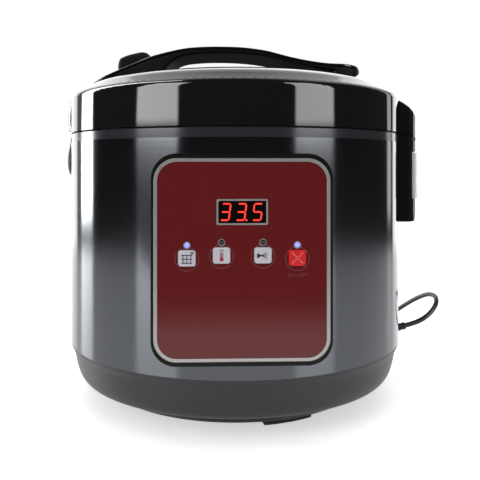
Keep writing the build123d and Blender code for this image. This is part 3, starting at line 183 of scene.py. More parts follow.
@dataclass(frozen=True)
class Finish:
    """A real material with the way its surface was made, as one procedural material."""

    name: str
    colour: str
    grain_colour: str
    roughness: float
    pattern: Pattern
    pattern_mm: float
    roughness_spread: float = 0.03
    bump_mm: float = 0.0
    metallic: float = 0.0
    ior: float = 1.5
    anisotropy: float = 0.0
    transmission: float = 0.0
    specular: float = 0.5
    glow: float = 0.0
    centre: tuple[float, float] = (0.0, 0.0)

    def grain(self, tree: bpy.types.NodeTree) -> bpy.types.NodeSocket:
        """Builds the pattern from 0 to 1, at its real size, on the piece's own coordinates.

        Args:
            tree: The material's node tree.

        Returns:
            The socket that carries the pattern.
        """
        place = add_node(tree, "ShaderNodeTexCoord").outputs["Object"]
        frequency = 1.0 / (self.pattern_mm * MM)
        if self.pattern is Pattern.SPUN:
            middle = {"Location": (-self.centre[0], -self.centre[1], 0.0), "Scale": (1.0, 1.0, 0.0)}
            flat = add_node(tree, "ShaderNodeMapping", middle, {"Vector": place}).outputs[0]
            length = {"operation": "LENGTH"}
            radius = add_node(tree, "ShaderNodeVectorMath", length, {0: flat}).outputs["Value"]
            rings = {"noise_dimensions": "1D", "Scale": frequency, "Detail": 3.0}
            return add_node(tree, "ShaderNodeTexNoise", rings, {"W": radius}).outputs[0]
        scale = tuple(frequency * share for share in STRETCH_SHARES[self.pattern])
        placed = add_node(tree, "ShaderNodeMapping", {"Scale": scale}, {"Vector": place}).outputs[0]
        if self.pattern in CELLS:
            cells, step = CELLS[self.pattern]
            near = add_node(tree, "ShaderNodeTexVoronoi", cells, {"Vector": placed}).outputs["Distance"]
            return add_node(tree, "ShaderNodeMapRange", step, {"Value": near}).outputs[0]
        noise = {"Scale": 1.0, "Detail": 4.0, "Roughness": 0.6}
        return add_node(tree, "ShaderNodeTexNoise", noise, {"Vector": placed}).outputs[0]

    def round_tangent(self, tree: bpy.types.NodeTree) -> bpy.types.NodeSocket:
        """Builds the direction that runs round the vessel: up crossed with the way out from its axis.

        Args:
            tree: The material's node tree.

        Returns:
            The socket that carries the direction.
        """
        place = add_node(tree, "ShaderNodeTexCoord").outputs["Object"]
        middle = {"operation": "SUBTRACT", 1: (self.centre[0], self.centre[1], 0.0)}
        outward = add_node(tree, "ShaderNodeVectorMath", middle, {0: place}).outputs[0]
        turn = {"operation": "CROSS_PRODUCT", 0: (0.0, 0.0, 1.0)}
        return add_node(tree, "ShaderNodeVectorMath", turn, {1: outward}).outputs[0]

    def build(self) -> bpy.types.Material:
        """Makes the material, or gives the one that is there already.

        Returns:
            The material.
        """
        if self.name in bpy.data.materials:
            return bpy.data.materials[self.name]
        material = bpy.data.materials.new(self.name)
        material.use_nodes = True
        tree = material.node_tree
        tree.nodes.clear()
        grain = self.grain(tree)
        shades = {
            "data_type": "RGBA",
            6: linear_colour(self.colour),
            7: linear_colour(self.grain_colour),
        }
        colour = add_node(tree, "ShaderNodeMix", shades, {0: grain}).outputs[2]
        limits = {
            "To Min": max(self.roughness - self.roughness_spread, LEAST_ROUGHNESS),
            "To Max": self.roughness + self.roughness_spread,
        }
        rough = add_node(tree, "ShaderNodeMapRange", limits, {"Value": grain}).outputs[0]
        settings = {
            "Metallic": self.metallic,
            "IOR": self.ior,
            "Specular IOR Level": self.specular,
            "Anisotropic": self.anisotropy,
            "Transmission Weight": self.transmission,
        }
        links = {"Base Color": colour, "Roughness": rough}
        if self.glow > 0:
            settings["Emission Strength"] = self.glow
            links["Emission Color"] = colour
        if self.bump_mm > 0:
            relief = {"Strength": 1.0, "Distance": self.bump_mm * MM}
            links["Normal"] = add_node(tree, "ShaderNodeBump", relief, {"Height": grain}).outputs[0]
        if self.anisotropy > 0:
            settings["Anisotropic Rotation"] = 0.25
            links["Tangent"] = self.round_tangent(tree)
        shader = add_node(tree, "ShaderNodeBsdfPrincipled", settings, links)
        add_node(tree, "ShaderNodeOutputMaterial", None, {"Surface": shader.outputs[0]})
        return material


# Injection-moulded gloss ABS: deep black with the faint orange peel of a polished mould
GLOSS_ABS = Finish("gloss_black_abs", "#0f0f11", "#131315", 0.05, Pattern.MOULDED, 6.0, 0.01, 0.004)
# The same ABS from an etched mould: satin, with grain that breaks up the light
SATIN_ABS = Finish("satin_black_abs", "#0c0c0d", "#101011", 0.2, Pattern.MOULDED, 0.5, 0.04, 0.006)
# The arch's own moulding is etched deeper, so that its underside stays dark
ETCHED_ABS = Finish(
    "etched_black_abs", "#0a0a0b", "#0e0e0f", 0.6, Pattern.MOULDED, 0.5, 0.05, 0.008, specular=0.12,
)
# The panel's tray: the satin mould again, a little duller, so that its rim stays black
TRAY_ABS = Finish(
    "dull_black_abs", "#090a0b", "#0e0f10", 0.38, Pattern.MOULDED, 0.5, 0.04, 0.006, specular=0.25,
)
# Polypropylene base, moulded grey with a fine spark-eroded texture
BASE_PP = Finish("textured_grey_polypropylene", "#242527", "#2d2e30", 0.36, Pattern.MOULDED, 0.6, 0.06, 0.03)
# Black stainless sheet, brushed and clear-coated: it mirrors sharply from side to side and less up and
# down, because its lines run round the body, too fine to show one by one
SHELL_STEEL = Finish(
    "brushed_black_steel", "#585a5e", "#616367", 0.12, Pattern.BRUSHED_ROUND, 0.5, 0.02, 0.0004, metallic=1.0,
    anisotropy=0.7,
)
# The rim is painted metal, a little duller than the shell
RING_METAL = Finish(
    "satin_black_rim", "#404146", "#494a4f", 0.15, Pattern.BRUSHED_ROUND, 0.6, 0.02, 0.001, metallic=0.6,
)
# Nickel-bright trim with a satin grain from side to side
TRIM_STEEL = Finish(
    "satin_nickel_trim", "#b9b3b1", "#cdc8c6", 0.36, Pattern.BRUSHED_ACROSS, 0.4, 0.05, 0.002, metallic=0.72,
)
# Back-printed polyester on the face plate: deep red under a smooth clear film
FACE_FILM = Finish("red_printed_polyester", "#611719", "#681a1c", 0.15, Pattern.MOULDED, 1.2, 0.03, 0.002)
# Smoked acrylic over the digits
SMOKED_ACRYLIC = Finish("smoked_acrylic", "#050404", "#0a0707", 0.1, Pattern.MOULDED, 3.0, 0.02)
# Caps of white and red ABS with a soft, slightly worn gloss
WHITE_ABS = Finish("white_cap_abs", "#c3c0c8", "#cecbd2", 0.28, Pattern.MOULDED, 0.8, 0.05, 0.004)
RED_ABS = Finish("red_cap_abs", "#d41a1e", "#e0262a", 0.26, Pattern.MOULDED, 0.8, 0.05, 0.004)
# Natural rubber feet and the silicone seal, both matte
FOOT_RUBBER = Finish("black_rubber", "#161617", "#1f1f20", 0.75, Pattern.MOULDED, 0.7, 0.08, 0.03)
SEAL_SILICONE = Finish("grey_silicone", "#a9aaa6", "#b7b8b4", 0.55, Pattern.MOULDED, 1.0, 0.06, 0.01)
# Clear polycarbonate cup, a little frosted inside
CUP_POLYCARBONATE = Finish(
    "clear_polycarbonate", "#e8edf2", "#dfe5ea", 0.22, Pattern.MOULDED, 2.0, 0.04, 0.004, ior=1.58,
    transmission=0.35,
)
# Die-cast and spun aluminium: rings of the lathe
SPUN_ALUMINIUM = Finish(
    "spun_aluminium", "#b9babc", "#d2d3d5", 0.28, Pattern.SPUN, 0.9, 0.06, 0.004, metallic=1.0,
)
# Non-stick coating with pale flecks on the pot
POT_COATING = Finish("flecked_nonstick", "#1b1b1c", "#4b4b4c", 0.38, Pattern.SPECKLED, 2.2, 0.05, 0.006)
# Zinc-plated steel of screws, springs and pins
PLATED_STEEL = Finish(
    "zinc_plated_steel", "#9a9b9d", "#b4b5b7", 0.3, Pattern.MOULDED, 0.9, 0.08, 0.003, metallic=1.0,
)
NICKEL_BRASS = Finish(
    "nickel_plated_brass", "#b9b4a6", "#cfcabc", 0.2, Pattern.MOULDED, 0.8, 0.05, 0.002, metallic=1.0,
)
# Polyimide film of the band heater, with its etched track inside
HEATER_FILM = Finish("polyimide_film", "#a8641c", "#7c4410", 0.35, Pattern.ETCHED, 5.0, 0.05, 0.02)
# Glass-fibre board under green solder mask
CIRCUIT_BOARD = Finish("green_solder_mask", "#0f4a26", "#1b6a38", 0.35, Pattern.ETCHED, 3.0, 0.05, 0.02)
PHENOLIC = Finish("black_phenolic", "#111112", "#19191a", 0.5, Pattern.MOULDED, 0.6, 0.06, 0.01)
# Cord sheath and plug in extruded PVC
CORD_PVC = Finish("black_pvc", "#0e0e0f", "#141415", 0.4, Pattern.MOULDED, 0.7, 0.06, 0.006)
# Inks, a faint ink that also paints a highlight ring, and lamps
DARK_INK = Finish("dark_print", "#232325", "#2d2d30", 0.4, Pattern.MOULDED, 0.4)
RED_INK = Finish("red_print", "#a3161b", "#b3242a", 0.4, Pattern.MOULDED, 0.4)
PALE_INK = Finish("pale_print", "#d7b9b6", "#e2c8c5", 0.4, Pattern.MOULDED, 0.4)
# Faint lighter red: the ON / OFF print, and also the painted highlight on the edge of the round hole under
# the film round each cap
FAINT_INK_AND_RING_HIGHLIGHT = Finish("faint_print_and_painted_highlight", "#74393a", "#7c4141", 0.3, Pattern.MOULDED, 0.4)
DIGIT_GLOW = Finish("lit_red_segment", "#ff2a22", "#ff3c30", 0.3, Pattern.MOULDED, 0.8, glow=1.0)
LAMP_LIT = Finish("lit_blue_lamp", "#6f78ff", "#9aa4ff", 0.15, Pattern.MOULDED, 1.0, glow=0.9)
LAMP_DARK = Finish("dark_lamp_epoxy", "#070707", "#0c0c0c", 0.12, Pattern.MOULDED, 1.0)

SLOT_FINISHES = {
    "shell_metal": SHELL_STEEL,
    "ring_metal": RING_METAL,
    "lid_gloss": GLOSS_ABS,
    "satin_black": SATIN_ABS,
    "base_plastic": BASE_PP,
    "foot_rubber": FOOT_RUBBER,
    "seal_silicone": SEAL_SILICONE,
    "bright_trim": TRIM_STEEL,
    "face_red": FACE_FILM,
    "window_dark": SMOKED_ACRYLIC,
    "lamp_blue": LAMP_LIT,
    "cap_white": WHITE_ABS,
    "cap_red": RED_ABS,
    "cup_clear": CUP_POLYCARBONATE,
    "pot_coating": POT_COATING,
    "aluminium": SPUN_ALUMINIUM,
    "steel": PLATED_STEEL,
    "pin_brass": NICKEL_BRASS,
    "heater_foil": HEATER_FILM,
    "board_green": CIRCUIT_BOARD,
    "switch_black": PHENOLIC,
    "lead_rubber": CORD_PVC,
}

# Nodes whose finish isn't that of their slot
NODE_FINISHES = {"panel_housing": TRAY_ABS}


# Shapes as whole arrays


@dataclass
class Surface:
    """Points and faces of one sheet or shell, in metres."""

    points: np.ndarray
    faces: list[list[int]]


def join_surfaces(surfaces: Sequence[Surface]) -> Surface:
    """Gives several surfaces as one.

    Args:
        surfaces: What is joined, in order.

    Returns:
        All of them, with the faces renumbered.
    """
    faces = []
    start = 0
    for surface in surfaces:
        faces += [[index + start for index in face] for face in surface.faces]
        start += len(surface.points)
    return Surface(np.vstack([surface.points for surface in surfaces]), faces)


def grid_faces(rows: int, columns: int, close_rows: bool, close_columns: bool) -> list[list[int]]:
    """Quads of a grid of rows by columns points, row by row.

    Args:
        rows: Number of rows.
        columns: Points in each row.
        close_rows: Whether the last row joins the first.
        close_columns: Whether each row's end joins its start.

    Returns:
        Four point numbers for each face.
    """
    down = np.arange(rows if close_rows else rows - 1)
    across = np.arange(columns if close_columns else columns - 1)
    row, column = np.meshgrid(down, across, indexing="ij")
    next_row = (row + 1) % rows
    next_column = (column + 1) % columns
    quads = np.stack(
        [
            row * columns + column,
            row * columns + next_column,
            next_row * columns + next_column,
            next_row * columns + column,
        ],
        axis=-1,
    )
    return quads.reshape(-1, 4).tolist()


def eased_steps(count: int) -> np.ndarray:
    """Steps from 0 to 1 that lie closer together near both ends: (1 - cos a) / 2 with a from 0 to pi."""
    return (1 - np.cos(np.linspace(0.0, math.pi, count))) / 2


def smooth_line(points: Sequence[Sequence[float]], count: int) -> np.ndarray:
    """A smooth curve through points: cubic pieces whose tangents are the slopes between neighbours.

    Args:
        points: The points that it goes through.
        count: How many points it gives back.

    Returns:
        An array of count points.
    """
    knots = np.asarray(points, dtype=float)
    lengths = np.concatenate([[0.0], np.cumsum(np.linalg.norm(np.diff(knots, axis=0), axis=1))])
    slopes = np.gradient(knots, lengths, axis=0)
    where = np.linspace(0.0, lengths[-1], count)
    piece = np.clip(np.searchsorted(lengths, where, side="right") - 1, 0, len(knots) - 2)
    span = (lengths[piece + 1] - lengths[piece])[:, None]
    t = (where[:, None] - lengths[piece][:, None]) / span
    start, end = knots[piece], knots[piece + 1]
    lead_in, lead_out = slopes[piece] * span, slopes[piece + 1] * span
    return (
        start * (2 * t**3 - 3 * t**2 + 1)
        + lead_in * (t**3 - 2 * t**2 + t)
        + end * (3 * t**2 - 2 * t**3)
        + lead_out * (t**3 - t**2)
    )


def revolved(profile: np.ndarray, segments: int, centre: Vector) -> Surface:
    """A closed outline of (radius, height) points turned about an upright axis: x = r cos a, y = r sin a.

    Args:
        profile: Radius and height of each point, in order round the outline.
        segments: Steps round the axis.
        centre: A point of the axis.

    Returns:
        The turned surface.
    """
    angle = np.linspace(0.0, 2 * math.pi, segments, endpoint=False)[:, None]
    radius, height = profile[:, 0][None, :], profile[:, 1][None, :]
    x = centre.x + radius * np.cos(angle)
    y = centre.y + radius * np.sin(angle)
    z = np.broadcast_to(height, x.shape)
    points = np.stack([x, y, z], axis=-1).reshape(-1, 3)
    return Surface(points, grid_faces(segments, profile.shape[0], True, True))


@dataclass(frozen=True)
class Section:
    """The form of an upright section: how square its upper and lower halves are, and its widest height."""

    top_power: float
    bottom_power: float
    waist_share: float


def lofted(
    x: np.ndarray, top: np.ndarray, bottom: np.ndarray, half_width: np.ndarray, section: Section
) -> Surface:
    """A solid from upright sections along X, each with a superellipse above and another below its waist.

    A section's point is y = w sgn(c) |c| ** (2 / p), z = m + h sgn(s) |s| ** (2 / p), with c and s the
    cosine and sine of the turn, w its half width, m its waist, h its reach above or below the waist and
    p the power of that half.

    Args:
        x: Where each section stands.
        top: Highest point of each section.
        bottom: Lowest point of each section.
        half_width: Half of each section's width.
        section: The form of all sections.

    Returns:
        The closed solid, its ends drawn in to a point.
    """
    turn = np.linspace(0.0, 2 * math.pi, LOFT_STEPS, endpoint=False)[None, :]
    upper = np.sin(turn) >= 0
    bend = 2.0 / np.where(upper, section.top_power, section.bottom_power)
    across = np.sign(np.cos(turn)) * np.abs(np.cos(turn)) ** bend
    upward = np.sign(np.sin(turn)) * np.abs(np.sin(turn)) ** bend
    waist = (bottom + section.waist_share * (top - bottom))[:, None]
    reach = np.where(upper, top[:, None] - waist, waist - bottom[:, None])
    y = half_width[:, None] * across
    z = waist + reach * upward
    points = np.stack([np.broadcast_to(x[:, None], y.shape), y, z], axis=-1)
    ends = [np.broadcast_to(points[index].mean(axis=0), points[index].shape) for index in (0, -1)]
    points = np.concatenate([ends[0][None], points, ends[1][None]])
    rows = points.shape[0]
    return Surface(points.reshape(-1, 3), grid_faces(rows, points.shape[1], False, True))


def flat_plate(outline: np.ndarray, thickness: float) -> Surface:
    """A thin plate: an outline of (x, y) points in order, carried along z by a thickness.

    Args:
        outline: The outline's points.
        thickness: How thick it is.

    Returns:
        The closed plate, its front at z = thickness.
    """
    count = len(outline)
    back = np.column_stack([outline, np.zeros(count)])
    front = np.column_stack([outline, np.full(count, thickness)])
    sides = grid_faces(2, count, False, True)
    caps = [list(range(count)), list(range(count, 2 * count))]
    return Surface(np.vstack([back, front]), sides + caps)


def make_piece(
    name: str,
    surface: Surface,
    finish: Finish,
    body: str,
    stands_for: Sequence[str] = (),
    sharp_degrees: float = PIECE_SHARP,
    cutters: Sequence[bpy.types.Object] = (),
) -> bpy.types.Object:
    """Puts a surface in the scene as a piece that rides on a body.

    Args:
        name: The piece's name.
        surface: Its points and faces.
        finish: Its material.
        body: The body that it moves with.
        stands_for: Nodes of the frame that it replaces.
        sharp_degrees: Edges that turn more than this stay sharp.
        cutters: Objects whose space is taken out of it.

    Returns:
        The new object.
    """
    piece = closed_object(name, surface)
    if cutters:
        carve(piece, cutters)
    piece.data.polygons.foreach_set("use_smooth", [True] * len(piece.data.polygons))
    piece.data.set_sharp_from_angle(angle=math.radians(sharp_degrees))
    piece.data.materials.clear()
    piece.data.materials.append(finish.build())
    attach(piece, body)
    if stands_for:
        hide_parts(*stands_for)
    LOG.info("piece %s on %s with %d faces", name, body, len(piece.data.polygons))
    return piece


def clean_mesh(mesh: bpy.types.Mesh) -> None:
    """Merges doubled points and turns the faces outwards.

    Args:
        mesh: The mesh that is cleaned.
    """
    work = bmesh.new()
    work.from_mesh(mesh)
    bmesh.ops.remove_doubles(work, verts=work.verts, dist=WELD_REACH)
    bmesh.ops.recalc_face_normals(work, faces=work.faces)
    work.to_mesh(mesh)
    work.free()


def add_object(name: str, data: bpy.types.ID) -> bpy.types.Object:
    """Puts an object with the given data in the scene.

    Args:
        name: The object's name.
        data: Its mesh, curve, light or camera.

    Returns:
        The new object.
    """
    thing = bpy.data.objects.new(name, data)
    bpy.context.scene.collection.objects.link(thing)
    return thing


def closed_object(name: str, surface: Surface) -> bpy.types.Object:
    """Puts a surface in the scene as a clean mesh: the start of a piece, or a cutter.

    Args:
        name: The object's name.
        surface: Its points and faces.

    Returns:
        The new object, which has no material yet.
    """
    mesh = bpy.data.meshes.new(name)
    mesh.from_pydata(surface.points.tolist(), [], surface.faces)
    clean_mesh(mesh)
    return add_object(name, mesh)


def carve(piece: bpy.types.Object, cutters: Sequence[bpy.types.Object]) -> None:
    """Takes the cutters' space out of a piece and keeps the result as its mesh.

    Args:
        piece: The object that is cut.
        cutters: Closed objects, which are removed afterwards by whoever made them.
    """
    for cutter in cutters:
        cut = piece.modifiers.new("cut", "BOOLEAN")
        cut.object = cutter
        cut.operation = "DIFFERENCE"
        cut.solver = "EXACT"
    bpy.context.view_layer.update()
    evaluated = piece.evaluated_get(bpy.context.evaluated_depsgraph_get())
    result = bpy.data.meshes.new_from_object(evaluated)
    piece.modifiers.clear()
    piece.data = result


def soften_by_angle(limit_degrees: float) -> bpy.types.NodeTree:
    """A modifier tree that shades faces smooth and keeps the edges that turn more than a limit sharp.

    Args:
        limit_degrees: The turn from which an edge stays sharp.

    Returns:
        The geometry node group.
    """
    group = bpy.data.node_groups.new("soften_by_angle", "GeometryNodeTree")
    group.interface.new_socket("Geometry", in_out="INPUT", socket_type="NodeSocketGeometry")
    group.interface.new_socket("Geometry", in_out="OUTPUT", socket_type="NodeSocketGeometry")
    source = add_node(group, "NodeGroupInput").outputs[0]
    faces = add_node(group, "GeometryNodeSetShadeSmooth", {"domain": "FACE"}, {"Geometry": source}).outputs[0]
    turn = add_node(group, "GeometryNodeInputMeshEdgeAngle").outputs["Unsigned Angle"]
    limit = {"operation": "GREATER_THAN", 1: math.radians(limit_degrees)}
    sharp = add_node(group, "FunctionNodeCompare", limit, {0: turn}).outputs[0]
    edges = {"domain": "EDGE", "Shade Smooth": False}
    done = add_node(
        group, "GeometryNodeSetShadeSmooth", edges, {"Geometry": faces, "Selection": sharp}
    ).outputs[0]
    add_node(group, "NodeGroupOutput", None, {0: done})
    return group


# Where things are


@dataclass
class Layout:
    """The vessel's axis and its levels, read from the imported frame, in metres."""

    axis: Vector = field(init=False)
    cover_top: float = field(init=False)
    face_front: float = field(init=False)
    panel_middle: float = field(init=False)

    def __post_init__(self) -> None:
        """Reads the places of the nodes that the new pieces stand on."""
        low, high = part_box("outer_shell")
        self.axis = Vector(((low[0] + high[0]) / 2, (low[1] + high[1]) / 2, 0.0))
        self.cover_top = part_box("lid_top_cover")[1][2]
        low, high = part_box("panel_face")
        self.face_front = low[1]
        self.panel_middle = (low[2] + high[2]) / 2

    def from_axis(self, points_mm: np.ndarray) -> np.ndarray:
        """Turns millimetres from the vessel's axis and above the table to metres in the row's place."""
        return points_mm * MM + np.array(self.axis)

    def placed(self, surface_mm: Surface) -> Surface:
        """Turns a whole surface from such millimetres to metres."""
        return Surface(self.from_axis(surface_mm.points), surface_mm.faces)

    def on_panel(self, x_mm: float, z_mm: float, proud_mm: float) -> Matrix:
        """The place on the face plate of a flat thing drawn in its own XY plane.

        Args:
            x_mm: Distance to the right of the panel's middle.
            z_mm: Distance above the panel's middle.
            proud_mm: Distance in front of the face plate.

        Returns:
            A matrix that stands the thing up, its front towards -Y.
        """
        x = self.axis.x + x_mm * MM
        z = self.panel_middle + z_mm * MM
        place = Vector((x, self.face_front - proud_mm * MM, z))
        return Matrix.Translation(place) @ Matrix.Rotation(math.radians(90), 4, "X")


def set_in_place(surface: Surface, place: Matrix) -> Surface:
    """Moves a surface's points by a matrix.

    Args:
        surface: The surface that is moved.
        place: Where it goes.

    Returns:
        The moved surface.
    """
    matrix = np.array(place)
    points = surface.points @ matrix[:3, :3].T + matrix[:3, 3]
    return Surface(points, surface.faces)


# The handle and its release button


@dataclass
class CarryHandle:
    """The arched handle in two mouldings, and the humped button in its front slope.

    Its side curves are shares of the reach and of the rise above the cover's top, and its plan is
    shares of the reach. The button's side curve is shares of its own length and height above its
    skirt. Skirt and stem levels are above the table.
    """

    layout: Layout
    reach_mm: float = 140.0
    rise_mm: float = 24.9
    skin_mm: float = 3.2
    seam_mm: float = 0.25
    least_mm: float = 0.6
    sink_mm: float = 4.5
    steep_from_mm: float = 90.0
    steep_slope: float = 0.3
    tip_mm: float = 8.4
    pedestal_share: float = 0.72
    rounding_share: float = 0.6
    end_width_share: float = 0.62
    rear_fall_share: float = 0.8
    stations: int = 150
    button_start_mm: float = -101.4
    button_end_mm: float = -73.6
    button_half_width_mm: float = 11.0
    button_corner_mm: float = 4.0
    button_skirt_mm: float = 273.0
    button_height_mm: float = 18.0
    button_stations: int = 60
    stem_place_mm: float = -91.0
    stem_radius_mm: float = 2.5
    stem_levels_mm: tuple[float, float] = (239.6, 276.0)
    stem_steps: int = 48
    pocket_gap_mm: float = 0.3
    pocket_depth_mm: float = 30.0
    pocket_height_mm: float = 60.0
    pocket_stations: int = 40
    top_shares: Pairs = (
        (-0.898, -0.36), (-0.837, -0.14), (-0.794, 0.0), (-0.758, 0.09), (-0.708, 0.22), (-0.61, 0.46),
        (-0.515, 0.671), (-0.411, 0.826), (-0.297, 0.95), (-0.183, 0.995), (-0.07, 1.0), (0.05, 0.975),
        (0.174, 0.888), (0.329, 0.682), (0.454, 0.556), (0.565, 0.487), (0.686, 0.463), (0.772, 0.4),
    )
    under_shares: Pairs = (
        (-0.45, -0.5), (-0.42, 0.2), (-0.37, 0.5), (-0.317, 0.635), (-0.22, 0.72), (-0.1, 0.75),
        (0.0, 0.74), (0.1, 0.7), (0.186, 0.635), (0.337, 0.46), (0.459, 0.32), (0.6, 0.2),
    )
    plan_shares: Pairs = (
        (-0.898, 0.12), (-0.86, 0.16), (-0.6, 0.186), (-0.2, 0.2145), (0.15, 0.2145), (0.5, 0.19),
        (0.715, 0.158), (0.772, 0.1),
    )
    button_shares: Pairs = (
        (0.0, 0.42), (0.07, 0.68), (0.19, 0.78), (0.5, 0.93), (0.76, 1.0), (0.9, 0.95), (1.0, 0.82),
    )
    skin_section: Section = Section(4.5, 14.0, 0.25)
    arch_section: Section = Section(14.0, 6.0, 0.8)
    cap_section: Section = Section(5.0, 14.0, 0.3)

    def line(self, shares: Pairs, x: np.ndarray) -> np.ndarray:
        """Heights of one of the handle's side curves.

        Args:
            shares: Points as shares of the reach and of the rise.
            x: Distances from the vessel's axis, in millimetres.

        Returns:
            The curve's height at each distance, above the cover's top, in millimetres.
        """
        curve = smooth_line([(self.reach_mm * a, self.rise_mm * b) for a, b in shares], LONG_CURVE)
        return np.interp(x, curve[:, 0], curve[:, 1])

    def build(self) -> None:
        """Makes both mouldings of the handle and its button."""
        first, last = self.top_shares[0][0], self.top_shares[-1][0]
        x = self.reach_mm * (first + (last - first) * eased_steps(self.stations))
        inside = np.minimum(x - x[0], x[-1] - x) / (self.rounding_share * self.tip_mm)
        rounding = np.sqrt(1 - (1 - np.clip(inside, 0.0, 1.0)) ** 2)
        rear = np.where(x > 0, 1 - rounding, 0.0)
        plan = smooth_line([(self.reach_mm * a, self.reach_mm * b) for a, b in self.plan_shares], LONG_CURVE)
        width = np.interp(x, plan[:, 0], plan[:, 1])
        width = width * (self.end_width_share + (1 - self.end_width_share) * rounding)
        crest = self.layout.cover_top / MM + self.line(self.top_shares, x)
        skin_low = crest - self.skin_mm
        skin_top = crest - rear * self.rear_fall_share * self.skin_mm
        arch_top = skin_low - self.seam_mm
        arch_low = np.minimum(self.underside(x, skin_low, rear), arch_top - self.least_mm)
        skin = self.layout.placed(lofted(x, skin_top, skin_low, width, self.skin_section))
        arch = self.layout.placed(lofted(x, arch_top, arch_low, width, self.arch_section))
        cut = [self.pocket()]
        make_piece(
            "handle_top_skin", skin, GLOSS_ABS, "lid", ["handle_upper"], HANDLE_SHARP, cut
        )
        make_piece(
            "handle_arch", arch, ETCHED_ABS, "lid", ["handle_lower"], HANDLE_SHARP, cut
        )
        bpy.data.objects.remove(cut[0])
        self.build_button()

    def underside(self, x: np.ndarray, skin_low: np.ndarray, rear: np.ndarray) -> np.ndarray:
        """Lowest heights of the lower moulding: sunk in the lid where it stands, open under the arch.

        Args:
            x: Distance of each section from the vessel's axis.
            skin_low: Lowest height of the upper moulding there.
            rear: How far the rear end has rounded off there, from 0 to 1.

        Returns:
            The height of each section, above the table.
        """
        cover = self.layout.cover_top / MM
        steep = self.steep_slope * np.clip(np.abs(x) - self.steep_from_mm, 0.0, None)
        front_end = self.reach_mm * self.under_shares[0][0]
        arch_end = self.reach_mm * self.under_shares[-1][0]
        tip_start = self.reach_mm * self.pedestal_share
        stands = (x < front_end) | ((x > arch_end) & (x < tip_start))
        low = np.where(stands, cover - self.sink_mm - steep, cover + self.line(self.under_shares, x))
        depth = self.tip_mm - self.skin_mm
        return np.where(x >= tip_start, skin_low - depth + rear * self.rear_fall_share * depth, low)

    def rounded_width(self, x: np.ndarray, grow: float) -> np.ndarray:
        """Half width of the button's plan, a rectangle with round corners.

        Args:
            x: Distances along the button.
            grow: How much larger the plan is all round.

        Returns:
            The half width at each distance.
        """
        corner = self.button_corner_mm
        inner = np.clip(np.minimum(x - x[0], x[-1] - x), 0.0, corner)
        return self.button_half_width_mm + grow - corner + np.sqrt(corner**2 - (corner - inner) ** 2)

    def pocket(self) -> bpy.types.Object:
        """The space that the release button moves in, as a cutting object.

        Returns:
            A closed prism that isn't a piece.
        """
        grow = self.pocket_gap_mm
        x = np.linspace(self.button_start_mm - grow, self.button_end_mm + grow, self.pocket_stations)
        width = self.rounded_width(x, grow)
        outline = np.vstack([np.column_stack([x, -width]), np.column_stack([x, width])[::-1]])
        prism = flat_plate(outline, self.pocket_height_mm)
        prism.points[:, 2] += self.button_skirt_mm - self.pocket_depth_mm
        return closed_object("pocket", self.layout.placed(prism))

    def build_button(self) -> None:
        """Makes the humped cap of the release button with its stem."""
        start, length = self.button_start_mm, self.button_end_mm - self.button_start_mm
        x = start + length * eased_steps(self.button_stations)
        side = [(start + length * a, self.button_height_mm * b) for a, b in self.button_shares]
        curve = smooth_line(side, SHORT_CURVE)
        top = self.button_skirt_mm + np.interp(x, curve[:, 0], curve[:, 1])
        bottom = np.full_like(x, self.button_skirt_mm)
        cap = lofted(x, top, bottom, self.rounded_width(x, 0.0), self.cap_section)
        radius = self.stem_radius_mm
        low, high = self.stem_levels_mm
        outline = np.array([(0.0, low), (radius, low), (radius, high), (0.0, high)])
        stem = revolved(outline, self.stem_steps, Vector((self.stem_place_mm, 0.0, 0.0)))
        button = self.layout.placed(join_surfaces([cap, stem]))
        make_piece(
            "release_cap", button, ETCHED_ABS, "release_button", ["release_button"], HANDLE_SHARP
        )


# The hinge's hood


@dataclass
class HingeHood:
    """The lid's half of the hinge housing, its back rounded over as one long curve.

    The side curve is shares of the way from its inner to its outer distance, and of its rise.
    """

    layout: Layout
    inner_mm: float = 128.0
    reach_mm: float = 159.5
    foot_mm: float = 222.0
    rise_mm: float = 28.0
    overrun_mm: float = 12.0
    half_width_mm: float = 40.0
    curve_points: int = 60
    side_shares: Pairs = (
        (1.0, 0.0), (0.971, 0.18), (0.889, 0.371), (0.762, 0.543), (0.559, 0.714), (0.308, 0.893), (0.0, 1.0),
    )

    def build(self) -> None:
        """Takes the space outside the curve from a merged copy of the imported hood, knuckle and all."""
        source = bpy.data.objects["lid_hinge_cover"].data
        places = np.zeros(len(source.vertices) * 3)
        source.vertices.foreach_get("co", places)
        triangles = np.zeros(len(source.loops), dtype=int)
        source.loops.foreach_get("vertex_index", triangles)
        copied = Surface(places.reshape(-1, 3), triangles.reshape(-1, 3).tolist())
        cut = [self.outside()]
        make_piece(
            "hinge_hood", copied, GLOSS_ABS, "lid", ["lid_hinge_cover"], PIECE_SHARP, cut
        )
        bpy.data.objects.remove(cut[0])

    def outside(self) -> bpy.types.Object:
        """The space outside the side curve, as a cutting prism from side to side.

        The prism's outline is the smooth curve through the side's points, closed round an outer corner.

        Returns:
            A closed prism that isn't a piece.
        """
        span = self.reach_mm - self.inner_mm
        side = [(self.inner_mm + span * a, self.foot_mm + self.rise_mm * b) for a, b in self.side_shares]
        far, high = self.reach_mm + self.overrun_mm, self.foot_mm + self.rise_mm + self.overrun_mm
        corner = [(self.inner_mm, high), (far, high), (far, self.foot_mm)]
        outline = np.vstack([smooth_line(side, self.curve_points), corner])
        prism = flat_plate(outline, 2 * self.half_width_mm)
        x, z, y = prism.points.T
        standing = Surface(np.column_stack([x, y - self.half_width_mm, z]), prism.faces)
        return closed_object("hood_cutter", self.layout.placed(standing))


# The latch trims


